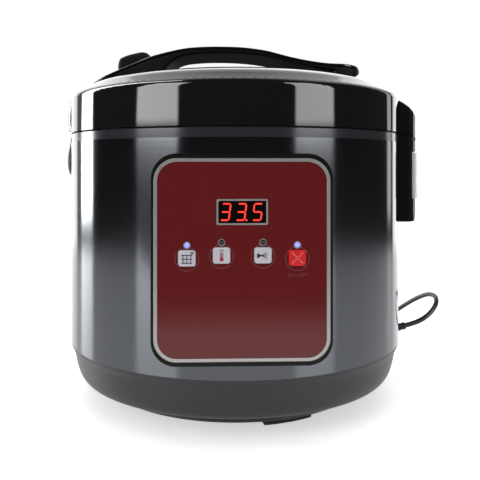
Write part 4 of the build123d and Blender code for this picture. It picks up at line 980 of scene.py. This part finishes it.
@dataclass
class LatchTrims:
    """The two low pads at the latch: the grip on the lid and the keeper's cover on the body.

    A pad's side line is shares of its height and of how proud it is.
    """

    layout: Layout
    side_mm: float = 140.0
    half_width_mm: float = 20.0
    proud_mm: float = 4.4
    sink_mm: float = 0.8
    edge_power: float = 4.0
    rows: int = 60
    columns: int = 60
    lid_levels_mm: tuple[float, float] = (222.0, 250.0)
    keeper_levels_mm: tuple[float, float] = (183.0, 217.0)
    lid_shares: Pairs = (
        (0.0, 0.75), (0.12, 0.93), (0.4, 1.0), (0.65, 0.9), (0.85, 0.62), (0.96, 0.28), (1.0, 0.0),
    )
    keeper_shares: Pairs = (
        (0.0, 0.0), (0.04, 0.34), (0.12, 0.72), (0.3, 1.0), (0.5, 0.97), (0.75, 0.62), (1.0, 0.16),
    )

    def build(self) -> None:
        """Makes both pads."""
        lid = self.pad(self.lid_levels_mm, self.lid_shares)
        keeper = self.pad(self.keeper_levels_mm, self.keeper_shares)
        make_piece("latch_grip", lid, GLOSS_ABS, "lid", ["lid_latch_trim"])
        make_piece("keeper_cover", keeper, ETCHED_ABS, "machine", ["latch_keeper"])

    def pad(self, levels: tuple[float, float], shares: Pairs) -> Surface:
        """A pad that swells from the body's side: reach = side + proud (1 - |u| ** p) f(v).

        Here u runs from -1 to 1 across it, v from 0 to 1 up it, p is the edge power and f the side line.

        Args:
            levels: Lowest and highest height.
            shares: The side line.

        Returns:
            The closed pad in metres.
        """
        v = np.linspace(0.0, 1.0, self.rows)[:, None]
        u = np.sin(np.linspace(-math.pi / 2, math.pi / 2, self.columns))[None, :]
        line = smooth_line(shares, SHORT_CURVE)
        swell = np.interp(v, line[:, 0], np.clip(line[:, 1], 0.0, None))
        turn = u * math.asin(self.half_width_mm / self.side_mm)
        height = np.broadcast_to(levels[0] + (levels[1] - levels[0]) * v, (self.rows, self.columns))
        outer = self.side_mm + self.proud_mm * (1 - np.abs(u) ** self.edge_power) * swell
        inner = np.full_like(outer, self.side_mm - self.sink_mm)
        sheets = [
            np.stack([-reach * np.cos(turn), reach * np.sin(turn), height], axis=-1).reshape(-1, 3)
            for reach in (outer, inner)
        ]
        count = self.rows * self.columns
        front = grid_faces(self.rows, self.columns, False, False)
        back = (np.array(front) + count).tolist()
        index = np.arange(count).reshape(self.rows, self.columns)
        border = np.concatenate([index[0], index[1:, -1], index[-1, -2::-1], index[-2:0:-1, 0]])
        following = np.roll(border, -1)
        rim = np.stack([border, following, following + count, border + count], axis=-1).tolist()
        return self.layout.placed(Surface(np.vstack(sheets), front + back + rim))


# The panel's lamps, digits, prints and painted highlight rings


# The segments that are lit for each figure, in the order top, upper left, upper right, middle,
# lower left, lower right, bottom
LIT_SEGMENTS = {"3": (0, 2, 3, 5, 6), "5": (0, 1, 3, 5, 6)}


@dataclass(frozen=True)
class Sign:
    """A sign printed on a cap, drawn in millimetres about the cap's middle.

    A bar is its left, right, low and high edge, a line is its two ends, and a dot is its middle and
    its radius.
    """

    name: str
    cap: int
    ink: Finish
    body: str
    slot: str
    bars: tuple = ()
    lines: tuple = ()
    line_mm: float = 0.3
    dots: tuple = ()
    dot_steps: int = 40


# Where the tablet's lines, the brush's bristle tips and the cross's dots lie
TABLET_LINES_MM = (-2.6, 0.0, 2.6)
BRISTLE_TIPS_MM = (-2.6, -1.4, -0.2, 1.0, 2.2)
CROSS_DOTS_MM = (-3.3, -2.2, -1.1, 0.0, 1.1, 2.2, 3.3)
SIGNS = (
    # A tablet of squares with a spark
    Sign(
        "sign_tablet", 0, DARK_INK, "button_milk", "cap_white",
        bars=tuple((-3.6, 3.6, y - 0.88, y - 0.32) for y in TABLET_LINES_MM)
        + tuple((x - 0.28, x + 0.28, -3.8, 2.6) for x in TABLET_LINES_MM),
        lines=(((2.6, 4.4), (4.4, 2.6)), ((2.6, 2.6), (4.4, 4.4))),
        line_mm=0.5,
    ),
    # A thermometer: a dark stem and a red bulb
    Sign(
        "sign_thermometer", 1, DARK_INK, "button_temperature", "cap_white",
        bars=((-1.1, -0.75, -1.6, 3.6), (0.75, 1.1, -1.6, 3.6), (-1.1, 1.1, 3.5, 3.9)),
    ),
    Sign(
        "sign_bulb", 1, RED_INK, "button_temperature", "cap_white",
        bars=((-0.42, 0.42, -1.6, 1.9),),
        dots=((0.0, -2.6, 1.35),),
    ),
    # A brush with its fan of bristles
    Sign(
        "sign_brush", 2, DARK_INK, "button_manual", "cap_white",
        bars=((-4.1, -2.4, -1.7, 1.2), (-2.4, -1.2, -0.8, 0.5)),
        lines=tuple(((-1.2, -0.15), (2.9, tip)) for tip in BRISTLE_TIPS_MM),
    ),
    # A dotted cross
    Sign(
        "sign_cross", 3, PALE_INK, "button_power", "cap_red",
        dots=tuple((step, side * step, 0.32) for step in CROSS_DOTS_MM for side in (1, -1)),
        dot_steps=12,
    ),
)


@dataclass
class PanelDetails:
    """Everything fine on the face plate: lamps, lit digits, signs on the caps, the faint ON / OFF print and
    the painted highlight ring round each cap.
    """

    layout: Layout
    window_rise_mm: float = 32.2
    digit_height_mm: float = 11.0
    digit_width_mm: float = 5.6
    segment_mm: float = 1.05
    slant_share: float = 0.13
    gap_share: float = 0.18
    dot_offset_share: float = 0.7
    dot_radius_share: float = 0.6
    dot_steps: int = 20
    digit_places_mm: tuple = (("3", -11.2), ("3", -0.7), ("5", 10.3))
    thin_layer_mm: float = 0.05
    cap_proud_mm: float = 0.7
    outer_column_mm: float = 37.1
    inner_column_mm: float = 13.9
    outer_rise_mm: float = 1.3
    inner_rise_mm: float = 3.1
    lamp_spacing_mm: float = 8.7
    lamp_radius_mm: float = 1.7
    lamp_inset_mm: float = 0.4
    lamp_depth_mm: float = 6.0
    lamp_steps: int = 40
    dome_points: int = 12
    ring_radius_mm: float = 8.2
    ring_line_mm: float = 0.45
    ring_drop_mm: float = 0.6
    ring_steps: int = 96
    words_size_mm: float = 3.2
    words_drop_mm: float = 12.6

    def build(self) -> None:
        """Makes every fine piece on the panel."""
        self.build_digits()
        self.build_lamps()
        self.build_rings()
        self.build_signs()
        self.build_switch_words()

    def segment(self, start: tuple[float, float], end: tuple[float, float]) -> np.ndarray:
        """A lit bar with pointed ends between two points of a digit.

        Args:
            start: Where it starts.
            end: Where it ends.

        Returns:
            Six outline points.
        """
        a, b = np.array(start), np.array(end)
        along = (b - a) / np.linalg.norm(b - a)
        side = np.array([-along[1], along[0]]) * self.segment_mm / 2
        inner_a, inner_b = a + along * self.segment_mm / 2, b - along * self.segment_mm / 2
        return np.array([a, inner_a - side, inner_b - side, b, inner_b + side, inner_a + side])

    def digit(self, figure: str, middle_mm: float) -> list[np.ndarray]:
        """Outlines of one figure's lit bars.

        Args:
            figure: The figure that is shown.
            middle_mm: Its middle, from the panel's middle.

        Returns:
            One outline for each lit bar, leaning to the right.
        """
        half_w = self.digit_width_mm / 2
        half_h = self.digit_height_mm / 2
        gap = self.segment_mm * self.gap_share
        bars = (
            ((-half_w + gap, half_h), (half_w - gap, half_h)),
            ((-half_w, half_h - gap), (-half_w, gap)),
            ((half_w, half_h - gap), (half_w, gap)),
            ((-half_w + gap, 0.0), (half_w - gap, 0.0)),
            ((-half_w, -gap), (-half_w, -half_h + gap)),
            ((half_w, -gap), (half_w, -half_h + gap)),
            ((-half_w + gap, -half_h), (half_w - gap, -half_h)),
        )
        outlines = []
        for index in LIT_SEGMENTS[figure]:
            outline = self.segment(*bars[index])
            outline[:, 0] += outline[:, 1] * self.slant_share + middle_mm
            outlines.append(outline)
        return outlines

    def disc(self, x: float, y: float, radius: float, count: int) -> np.ndarray:
        """Outline of a disc.

        Args:
            x: Its middle.
            y: Its middle.
            radius: Its radius.
            count: Points round it.

        Returns:
            The outline's points.
        """
        angle = np.linspace(0.0, 2 * math.pi, count, endpoint=False)
        return np.column_stack([x + radius * np.cos(angle), y + radius * np.sin(angle)])

    def bar(self, x_low: float, x_high: float, y_low: float, y_high: float) -> np.ndarray:
        """Outline of an upright rectangle between two corners."""
        return np.array([[x_low, y_low], [x_high, y_low], [x_high, y_high], [x_low, y_high]])

    def stroke(self, start: tuple[float, float], end: tuple[float, float], width: float) -> np.ndarray:
        """Outline of a straight printed line.

        Args:
            start: Where it starts.
            end: Where it ends.
            width: How wide it is.

        Returns:
            Four outline points.
        """
        a, b = np.array(start), np.array(end)
        along = (b - a) / np.linalg.norm(b - a)
        side = np.array([-along[1], along[0]]) * width / 2
        return np.array([a - side, b - side, b + side, a + side])

    def printed(
        self,
        name: str,
        outlines: Sequence[np.ndarray],
        place_mm: tuple[float, float, float],
        finish: Finish,
        body: str,
    ) -> None:
        """Lays outlines on the panel as one thin print.

        Args:
            name: The piece's name.
            outlines: Outlines in millimetres about the print's middle.
            place_mm: Its middle on the panel, and how far in front of the face it lies.
            finish: Its ink.
            body: The body that it moves with.
        """
        whole = join_surfaces([flat_plate(outline * MM, self.thin_layer_mm * MM) for outline in outlines])
        placed = set_in_place(whole, self.layout.on_panel(*place_mm))
        make_piece(name, placed, finish, body)

    def build_digits(self) -> None:
        """Lights the reading in the window."""
        outlines = []
        for figure, middle in self.digit_places_mm:
            outlines += self.digit(figure, middle)
        second = self.digit_places_mm[1][1]
        dot_x = second + self.digit_width_mm / 2 + self.segment_mm * self.dot_offset_share
        dot_radius = self.segment_mm * self.dot_radius_share
        outlines.append(self.disc(dot_x, -self.digit_height_mm / 2, dot_radius, self.dot_steps))
        place = (0.0, self.window_rise_mm, 0.0)
        self.printed("lit_digits", outlines, place, DIGIT_GLOW, "machine")

    def build_lamps(self) -> None:
        """Makes the domed lamps: the outer two lit, the inner two dark."""
        columns = {
            "lamps_lit": (LAMP_LIT, self.outer_column_mm, self.outer_rise_mm, ["indicator_lamps"]),
            "lamps_unlit": (LAMP_DARK, self.inner_column_mm, self.inner_rise_mm, []),
        }
        rise = np.linspace(0.0, math.pi / 2, self.dome_points)
        radius = self.lamp_radius_mm
        dome = np.column_stack([radius * np.cos(rise), radius * np.sin(rise)])
        foot = np.array([[0.0, -self.lamp_depth_mm], [radius, -self.lamp_depth_mm]])
        lamp = revolved(np.vstack([foot, dome]) * MM, self.lamp_steps, Vector())
        for name, (finish, column, height, replaced) in columns.items():
            places = [(side * column, height + self.lamp_spacing_mm, -self.lamp_inset_mm) for side in (-1, 1)]
            both = join_surfaces([set_in_place(lamp, self.layout.on_panel(*place)) for place in places])
            make_piece(name, both, finish, "machine", replaced)

    def build_rings(self) -> None:
        """Paints a faint lighter circle round each cap, a painted highlight on the edge of the round hole
        under the face film: four rings of points, closed on themselves.
        """
        outer = self.disc(0.0, 0.0, self.ring_radius_mm, self.ring_steps)
        inner = self.disc(0.0, 0.0, self.ring_radius_mm - self.ring_line_mm, self.ring_steps)
        back, front = 0.0, self.thin_layer_mm
        rings = [
            np.column_stack([line, np.full(self.ring_steps, level)])
            for line, level in ((inner, back), (outer, back), (outer, front), (inner, front))
        ]
        ring = Surface(np.vstack(rings) * MM, grid_faces(len(rings), self.ring_steps, True, True))
        places = [(x, z - self.ring_drop_mm, 0.0) for x, z in self.cap_places()]
        whole = join_surfaces([set_in_place(ring, self.layout.on_panel(*place)) for place in places])
        # The circles are a painted highlight, not print: they stand in for the light on the edge of the hole
        # under the film
        make_piece("cap_circles", whole, FAINT_INK_AND_RING_HIGHLIGHT, "machine")

    def cap_places(self) -> Pairs:
        """Middle of each cap on the panel, from left to right."""
        return (
            (-self.outer_column_mm, self.outer_rise_mm),
            (-self.inner_column_mm, self.inner_rise_mm),
            (self.inner_column_mm, self.inner_rise_mm),
            (self.outer_column_mm, self.outer_rise_mm),
        )

    def build_signs(self) -> None:
        """Prints the sign on each cap."""
        for sign in SIGNS:
            x, z = self.cap_places()[sign.cap]
            outlines = [self.bar(*edges) for edges in sign.bars]
            outlines += [self.stroke(start, end, sign.line_mm) for start, end in sign.lines]
            outlines += [self.disc(*dot, sign.dot_steps) for dot in sign.dots]
            self.printed(sign.name, outlines, (x, z, self.cap_proud_mm), sign.ink, sign.body)

    def build_switch_words(self) -> None:
        """Prints ON / OFF under the red cap."""
        x, z = self.cap_places()[3]
        words = bpy.data.curves.new("switch_words", "FONT")
        words.body = "ON / OFF"
        words.size = self.words_size_mm * MM
        words.align_x = "CENTER"
        words.extrude = self.thin_layer_mm * MM / 2
        lettering = add_object("switch_words_curve", words)
        bpy.context.view_layer.update()
        evaluated = lettering.evaluated_get(bpy.context.evaluated_depsgraph_get())
        mesh = bpy.data.meshes.new_from_object(evaluated)
        bpy.data.objects.remove(lettering)
        points = np.zeros(len(mesh.vertices) * 3)
        mesh.vertices.foreach_get("co", points)
        faces = [list(face.vertices) for face in mesh.polygons]
        flat = Surface(points.reshape(-1, 3), faces)
        place = self.layout.on_panel(x, z - self.words_drop_mm, self.thin_layer_mm / 2)
        make_piece("switch_words", set_in_place(flat, place), FAINT_INK_AND_RING_HIGHLIGHT, "machine")


# The mains lead


@dataclass
class MainsLead:
    """The lead's shown loop, its put-away coil and the strain relief at the base.

    The coil's rings are counted from the middle of its width in steps of the pitch. The lead moves
    over or climbs once in a turn, in the stretch that starts at the named share of that turn. A
    point of the tail is its distance past the route's end and its Y, and one of the relief's taper
    is its distance along the relief and the radius there.
    """

    layout: Layout
    radius_mm: float = 2.2
    length_mm: float = 1200.0
    pitch_mm: float = 4.7
    coil_radius_mm: float = 24.9
    coil_spread: float = 1.008
    coil_back_mm: float = 24.1
    table_gap_mm: float = 0.05
    turns: float = 6.0
    turn_points: int = 18
    outer_ring: float = 1.5
    lower_turns: int = 3
    move_share: float = 0.17
    inward_share: float = 0.83
    outward_share: float = 0.5
    climb_share: float = 0.66
    plug_axis_mm: float = 6.85
    route_mm: tuple = (
        (156.5, 19.4, 45.6), (168.5, 20.8, 48.0), (180.5, 23.0, 54.5), (190.0, 30.5, 62.5),
        (194.0, 43.5, 67.8), (192.0, 59.0, 67.5), (185.5, 76.5, 60.0), (176.0, 96.5, 47.0),
        (165.5, 117.0, 31.5), (154.0, 136.5, 16.5), (140.5, 152.5, 6.8), (123.0, 161.0, 3.0),
        (103.0, 162.9, 2.4), (86.0, 160.9, 2.3),
    )
    end_mm: tuple[float, float] = (69.0, 165.0)
    tail_mm: Pairs = ((-4.0, 163.0), (-12.0, 164.4), (-20.0, 165.0), (-25.0, 165.0))
    relief_taper_mm: Pairs = ((-4.0, 6.4), (2.4, 6.4), (2.6, 4.6), (17.0, 3.3), (19.0, 3.3))
    relief_wall_mm: float = 0.2
    relief_points: int = 240
    relief_steps: int = 64
    ribs_mm: tuple[float, float] = (4.0, 17.0)
    rib_pitch_mm: float = 1.9
    rib_depth_mm: float = 0.3

    def moved(self, share: np.ndarray, start: float) -> np.ndarray:
        """How far a move has come, from 0 to 1, at each share of a turn.

        Args:
            share: Pairs of a turn.
            start: The share at which the move starts.

        Returns:
            The move's progress.
        """
        return np.clip((share - start) / self.move_share, 0.0, 1.0)

    def coil_points(self) -> np.ndarray:
        """Points of the coil: four turns inwards on the table, then two outwards on top of them.

        A turn keeps its ring and moves one ring over only near its end, so turns beside each other
        stay a lead's thickness apart. The lead climbs to the upper layer before that place.

        Returns:
            The points in millimetres.
        """
        turn = np.arange(0.0, self.turns, 1.0 / self.turn_points)
        whole = np.floor(turn)
        share = turn - whole
        crossing = whole == self.lower_turns
        upper = whole > self.lower_turns
        lower_ring = self.outer_ring - whole - self.moved(share, self.inward_share)
        upper_ring = whole - self.lower_turns - 1 - self.outer_ring + self.moved(share, self.outward_share)
        ring = np.select([upper, crossing], [upper_ring, -self.outer_ring], lower_ring)
        level = np.select([upper, crossing], [1.0, self.moved(share, self.climb_share)], 0.0)
        radius = (self.coil_radius_mm + ring * self.pitch_mm) * self.coil_spread
        angle = -math.pi / 2 - turn * 2 * math.pi
        x = self.end_mm[0] + radius * np.cos(angle)
        y = self.end_mm[1] + self.coil_back_mm + radius * np.sin(angle)
        z = self.radius_mm + self.table_gap_mm + level * self.pitch_mm
        return np.column_stack([x, y, z])

    def build(self) -> None:
        """Makes the lead as one smooth curve, and its strain relief."""
        tail = [(self.end_mm[0] + ahead, y, self.plug_axis_mm) for ahead, y in self.tail_mm]
        points = self.layout.from_axis(np.vstack([self.route_mm, self.coil_points(), tail]))
        curve = bpy.data.curves.new("mains_lead", "CURVE")
        curve.dimensions = "3D"
        curve.bevel_depth = self.radius_mm * MM
        curve.bevel_resolution = 6
        curve.resolution_u = 8
        curve.use_fill_caps = True
        spline = curve.splines.new("NURBS")
        spline.points.add(len(points) - 1)
        flat = np.column_stack([points, np.ones(len(points))]).ravel()
        spline.points.foreach_set("co", flat)
        spline.order_u = 3
        spline.use_endpoint_u = True
        lead = add_object("mains_lead", curve)
        curve.materials.append(CORD_PVC.build())
        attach(lead, "machine")
        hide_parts("cord", "cord_coil")
        LOG.info("piece mains_lead on machine with %d points", len(points))
        gland = self.build_gland()

    def build_gland(self) -> bpy.types.Object:
        """Makes the tapered strain relief with its ribs.

        Returns:
            The strain relief.
        """
        start = Vector(self.route_mm[0]) * MM
        ahead = Vector(self.route_mm[1]) * MM
        out = (ahead - start).normalized()
        stops, radii = np.array(self.relief_taper_mm).T
        along = np.linspace(stops[0], stops[-1], self.relief_points)
        first, last = self.ribs_mm
        wave = self.rib_depth_mm * (np.cos((along - first) / self.rib_pitch_mm * 2 * math.pi) - 1)
        radius = np.interp(along, stops, radii) + np.where((along > first) & (along < last), wave, 0.0)
        profile = np.column_stack([np.maximum(radius, self.radius_mm + self.relief_wall_mm), along])
        closed = np.vstack([[[0.0, along[0]]], profile, [[0.0, along[-1]]]]) * MM
        relief = revolved(closed, self.relief_steps, Vector())
        relief.points[:, 2] -= along[-1] * MM
        turned = out.to_track_quat("Z", "Y").to_matrix().to_4x4()
        place = Matrix.Translation(start + self.layout.axis) @ turned
        return make_piece(
            "strain_relief", set_in_place(relief, place), CORD_PVC, "machine", ["cord_gland"]
        )


# Camera, floor and light


@dataclass(frozen=True)
class SoftBox:
    """Something that shines in the room and that gloss mirrors.

    Its edges are in degrees, to the right of straight ahead of the panel and above the table. The
    softness is half of the width in degrees in which an edge fades.
    """

    left: float
    right: float
    low: float
    high: float
    brightness: float
    side_softness: float
    height_softness: float


SOFT_BOXES = (
    # The tall window in front at the left, with the dim strips under it
    SoftBox(-69.3, -39.3, 3.9, 50.0, 8.6, 1.2, 1.4),
    SoftBox(-69.3, -39.3, -1.5, 6.0, 0.42, 1.2, 2.5),
    SoftBox(-69.3, -39.3, -20.0, 5.0, 0.2, 1.2, 2.0),
    # The one in front at the right, with its dim strip
    SoftBox(37.7, 65.7, 3.6, 50.0, 7.0, 1.2, 1.5),
    SoftBox(37.7, 65.7, -20.0, 3.6, 0.42, 1.2, 3.0),
    # The bright narrow light behind at the left, with the dim one beside it, and the weak one at the right
    SoftBox(-129.5, -112.5, -4.3, 70.0, 13.0, 0.8, 0.5),
    SoftBox(-139.0, -129.5, -20.0, 70.0, 0.3, 0.8, 1.0),
    SoftBox(124.0, 131.0, -4.3, 70.0, 1.5, 0.6, 1.0),
    # The low lights behind, one at each side
    SoftBox(-166.0, -139.0, -30.0, 14.0, 2.2, 0.8, 2.0),
    SoftBox(135.7, 166.0, -30.0, 14.0, 2.2, 0.8, 2.0),
    # The white wall behind, and its upper part that fades out
    SoftBox(139.0, 184.0, 6.0, 34.0, 1.8, 2.0, 3.0),
    SoftBox(-184.0, -139.0, 6.0, 34.0, 1.8, 2.0, 3.0),
    SoftBox(139.0, 184.0, 20.0, 58.0, 1.0, 2.0, 14.0),
    SoftBox(-184.0, -139.0, 20.0, 58.0, 1.0, 2.0, 14.0),
)


@dataclass(frozen=True)
class Lamp:
    """A square lamp that faces the machine: its place from the vessel's axis, its side and its watts."""

    name: str
    place_mm: tuple[float, float, float]
    side_mm: float
    watts: float


@dataclass
class Studio:
    """The camera that took the view, the pale table and the lights round it."""

    layout: Layout
    distance_mm: float = 593.5
    height_mm: float = 191.0
    turn_degrees: float = -2.0
    lens_mm: float = 50.49
    sensor_mm: float = 36.0
    image_px: float = 480.0
    middle_px: float = 234.92
    horizon_px: float = 167.24
    near_mm: float = 10.0
    far_mm: float = 100000.0
    floor_reach_mm: float = 6000.0
    panel_reach_mm: float = 142.0
    table_edge_mm: float = 377.0
    edge_fade_mm: tuple[float, float] = (60.0, 30.0)
    table_fade_mm: tuple[float, float] = (950.0, 1350.0)
    floor_colour: str = "#f0f0f1"
    # Roughness and specular level of the table as it is lit, and as gloss mirrors it
    matte_table: tuple[float, float] = (0.6, 0.1)
    mirrored_table: tuple[float, float] = (0.2, 0.07)
    open_floor: float = 0.56
    mirrored_share: float = 0.45
    backdrop: str = "#ffffff"
    fill_level: float = 0.62
    room_level: float = 0.045
    aim_height_mm: float = 130.0
    lamps: tuple[Lamp, ...] = (
        Lamp("overhead", (0.0, 100.0, 1500.0), 1200.0, 9.0),
        Lamp("front_left", (-1100.0, -1200.0, 900.0), 800.0, 5.0),
    )

    def build(self) -> None:
        """Sets up the camera, the floor, the world and the lamps."""
        self.build_camera()
        self.build_floor()
        self.build_world()
        for lamp in self.lamps:
            self.build_lamp(lamp)
        bpy.context.scene.view_settings.view_transform = "Standard"

    def build_camera(self) -> None:
        """Places the level camera in front of the machine, a little to the left."""
        data = bpy.data.cameras.new("view")
        data.lens = self.lens_mm
        data.sensor_width = self.sensor_mm
        data.shift_x = (self.image_px / 2 - self.middle_px) / self.image_px
        data.shift_y = (self.horizon_px - self.image_px / 2) / self.image_px
        data.clip_start = self.near_mm * MM
        data.clip_end = self.far_mm * MM
        camera = add_object("view", data)
        turn = math.radians(self.turn_degrees)
        ahead = Vector((-math.sin(turn), math.cos(turn), 0.0))
        camera.location = self.layout.axis - ahead * self.distance_mm * MM
        camera.location.z = self.height_mm * MM
        camera.rotation_mode = "QUATERNION"
        camera.rotation_quaternion = ahead.to_track_quat("-Z", "Y")
        bpy.context.scene.camera = camera

    def build_floor(self) -> None:
        """Lays the pale table, of which gloss shows as much as the real table's edges leave."""
        reach = self.floor_reach_mm * MM
        mesh = bpy.data.meshes.new("floor")
        square = [(-reach, -reach, 0.0), (reach, -reach, 0.0), (reach, reach, 0.0), (-reach, reach, 0.0)]
        mesh.from_pydata(square, [], [[0, 1, 2, 3]])
        mesh.materials.append(self.table_material())
        add_object("floor", mesh)

    def table_material(self) -> bpy.types.Material:
        """Matte white laminate that lights up for the camera and ends for gloss where the real table ends.

        Returns:
            The table's material.
        """
        material = bpy.data.materials.new("matte_white_table")
        material.use_nodes = True
        tree = material.node_tree
        tree.nodes.clear()
        path = add_node(tree, "ShaderNodeLightPath").outputs
        glossy = path["Is Glossy Ray"]
        place = add_node(tree, "ShaderNodeNewGeometry").outputs["Position"]
        y = add_node(tree, "ShaderNodeSeparateXYZ", None, {0: place}).outputs["Y"]
        edge = self.layout.axis.y - (self.panel_reach_mm + self.table_edge_mm) * MM
        start, end = edge - self.edge_fade_mm[0] * MM, edge + self.edge_fade_mm[1] * MM
        fade = {"From Min": start, "From Max": end, "To Min": 1.0, "To Max": 0.0}
        ahead = add_node(tree, "ShaderNodeMapRange", fade, {"Value": y}).outputs[0]
        away = add_node(tree, "ShaderNodeVectorMath", {"operation": "LENGTH"}, {0: place}).outputs["Value"]
        ring = {"From Min": self.table_fade_mm[0] * MM, "From Max": self.table_fade_mm[1] * MM}
        aside = add_node(tree, "ShaderNodeMapRange", ring, {"Value": away}).outputs[0]
        gone = calculate(tree, "MULTIPLY", glossy, calculate(tree, "MAXIMUM", ahead, aside))
        tops = []
        for roughness, specular in (self.matte_table, self.mirrored_table):
            top = {
                "Base Color": linear_colour(self.floor_colour),
                "Roughness": roughness,
                "Specular IOR Level": specular,
            }
            tops.append(add_node(tree, "ShaderNodeBsdfPrincipled", top).outputs[0])
        table = add_node(tree, "ShaderNodeMixShader", None, {0: glossy, 1: tops[0], 2: tops[1]}).outputs[0]
        mirrored = calculate(tree, "MULTIPLY", glossy, self.mirrored_share)
        rays = calculate(tree, "ADD", path["Is Camera Ray"], mirrored)
        lift = calculate(tree, "MULTIPLY", rays, self.open_floor)
        white = add_node(tree, "ShaderNodeEmission", {"Color": WHITE}, {"Strength": lift}).outputs[0]
        bright = add_node(tree, "ShaderNodeAddShader", None, {0: table, 1: white}).outputs[0]
        clear = add_node(tree, "ShaderNodeBsdfTransparent").outputs[0]
        mixed = add_node(tree, "ShaderNodeMixShader", None, {0: gone, 1: bright, 2: clear})
        add_node(tree, "ShaderNodeOutputMaterial", None, {"Surface": mixed.outputs[0]})
        return material

    def build_world(self) -> None:
        """Makes the room: white for the camera, and for gloss dark with windows and a white wall behind."""
        world = bpy.data.worlds.new("studio")
        bpy.context.scene.world = world
        world.use_nodes = True
        tree = world.node_tree
        tree.nodes.clear()
        path = add_node(tree, "ShaderNodeLightPath").outputs
        direction = add_node(tree, "ShaderNodeTexCoord").outputs["Generated"]
        parts = add_node(tree, "ShaderNodeSeparateXYZ", None, {0: direction}).outputs
        azimuth = calculate(tree, "ARCTAN2", parts["X"], calculate(tree, "MULTIPLY", parts["Y"], -1.0))
        height = calculate(tree, "ARCSINE", parts["Z"])
        room = self.room_level
        for box in SOFT_BOXES:
            room = calculate(tree, "MAXIMUM", self.window(tree, azimuth, height, box), room)
        camera = calculate(tree, "MAXIMUM", path["Is Camera Ray"], path["Is Transmission Ray"])
        even = {"Color": WHITE, "Strength": self.fill_level}
        fill = add_node(tree, "ShaderNodeBackground", even).outputs[0]
        behind = {"Color": linear_colour(self.backdrop), "Strength": 1.0}
        seen = add_node(tree, "ShaderNodeBackground", behind).outputs[0]
        mirrored = add_node(tree, "ShaderNodeBackground", {"Color": WHITE}, {"Strength": room}).outputs[0]
        choice = {0: path["Is Glossy Ray"], 1: fill, 2: mirrored}
        unseen = add_node(tree, "ShaderNodeMixShader", None, choice).outputs[0]
        shown = add_node(tree, "ShaderNodeMixShader", None, {0: camera, 1: unseen, 2: seen}).outputs[0]
        add_node(tree, "ShaderNodeOutputWorld", None, {"Surface": shown})

    def window(
        self,
        tree: bpy.types.NodeTree,
        azimuth: bpy.types.NodeSocket,
        height: bpy.types.NodeSocket,
        box: SoftBox,
    ) -> bpy.types.NodeSocket:
        """The light of one soft box: its brightness times four soft steps, one at each edge.

        Args:
            tree: The world's node tree.
            azimuth: The ray's turn from straight ahead of the panel, in radians.
            height: The ray's angle above the table, in radians.
            box: The box that shines.

        Returns:
            The socket with its brightness.
        """
        edges = (
            (azimuth, box.left, box.side_softness, 1.0),
            (azimuth, box.right, box.side_softness, 0.0),
            (height, box.low, box.height_softness, 1.0),
            (height, box.high, box.height_softness, 0.0),
        )
        light = box.brightness
        for value, edge, softness, beyond in edges:
            step = {
                "interpolation_type": "SMOOTHSTEP",
                "From Min": math.radians(edge - softness),
                "From Max": math.radians(edge + softness),
                "To Min": 1.0 - beyond,
                "To Max": beyond,
            }
            share = add_node(tree, "ShaderNodeMapRange", step, {"Value": value}).outputs[0]
            light = calculate(tree, "MULTIPLY", share, light)
        return light

    def build_lamp(self, lamp: Lamp) -> None:
        """Hangs one lamp, which gloss doesn't show.

        Args:
            lamp: Its place, size and power.
        """
        data = bpy.data.lights.new(lamp.name, "AREA")
        data.shape = "SQUARE"
        data.size = lamp.side_mm * MM
        data.energy = lamp.watts
        hung = add_object(lamp.name, data)
        hung.location = self.layout.axis + Vector(lamp.place_mm) * MM
        aim = self.layout.axis + Vector((0.0, 0.0, self.aim_height_mm * MM)) - hung.location
        hung.rotation_mode = "QUATERNION"
        hung.rotation_quaternion = aim.to_track_quat("-Z", "Y")
        hung.visible_glossy = False


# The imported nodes


# Each spring that shortens: the joint that presses it, and that joint's travel in millimetres
SPRING_TRAVELS = {"sensor_spring": ("sensor_slide", 2.0)}


def dress_frame(frame: dict, layout: Layout) -> None:
    """Gives every node of the frame its finish and smooth shading.

    Args:
        frame: What the frame's loader gave.
        layout: The vessel's axis, for what was turned on a lathe.
    """
    soften = soften_by_angle(FRAME_SHARP)
    slots = {row["node"]: row["material_slot"] for row in frame["record"]["subparts"]}
    for name, node in frame["nodes"].items():
        finish = NODE_FINISHES.get(name, SLOT_FINISHES[slots[name]])
        if finish.pattern is Pattern.SPUN or finish.anisotropy > 0:
            finish = replace(finish, centre=(layout.axis.x, layout.axis.y))
        node.data.materials.clear()
        node.data.materials.append(finish.build())
        weld = node.modifiers.new("weld", "WELD")
        weld.merge_threshold = WELD_REACH
        smooth = node.modifiers.new("soften", "NODES")
        smooth.node_group = soften
    LOG.info("dressed %d nodes", len(frame["nodes"]))


def seat_springs(nodes: dict) -> None:
    """Gives each coil spring under a sliding piece a mesh of its own.

    Args:
        nodes: The frame's nodes by name.
    """
    for name, (joint, travel_mm) in SPRING_TRAVELS.items():
        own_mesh(nodes[name])


def main() -> None:
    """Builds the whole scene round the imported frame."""
    logging.basicConfig(level=logging.INFO, format="%(message)s")
    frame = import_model()
    layout = Layout()
    Studio(layout).build()
    MainsLead(layout).build()
    dress_frame(frame, layout)
    seat_springs(frame["nodes"])
    CarryHandle(layout).build()
    HingeHood(layout).build()
    LatchTrims(layout).build()
    PanelDetails(layout).build()


if __name__ == "__main__":
    main()
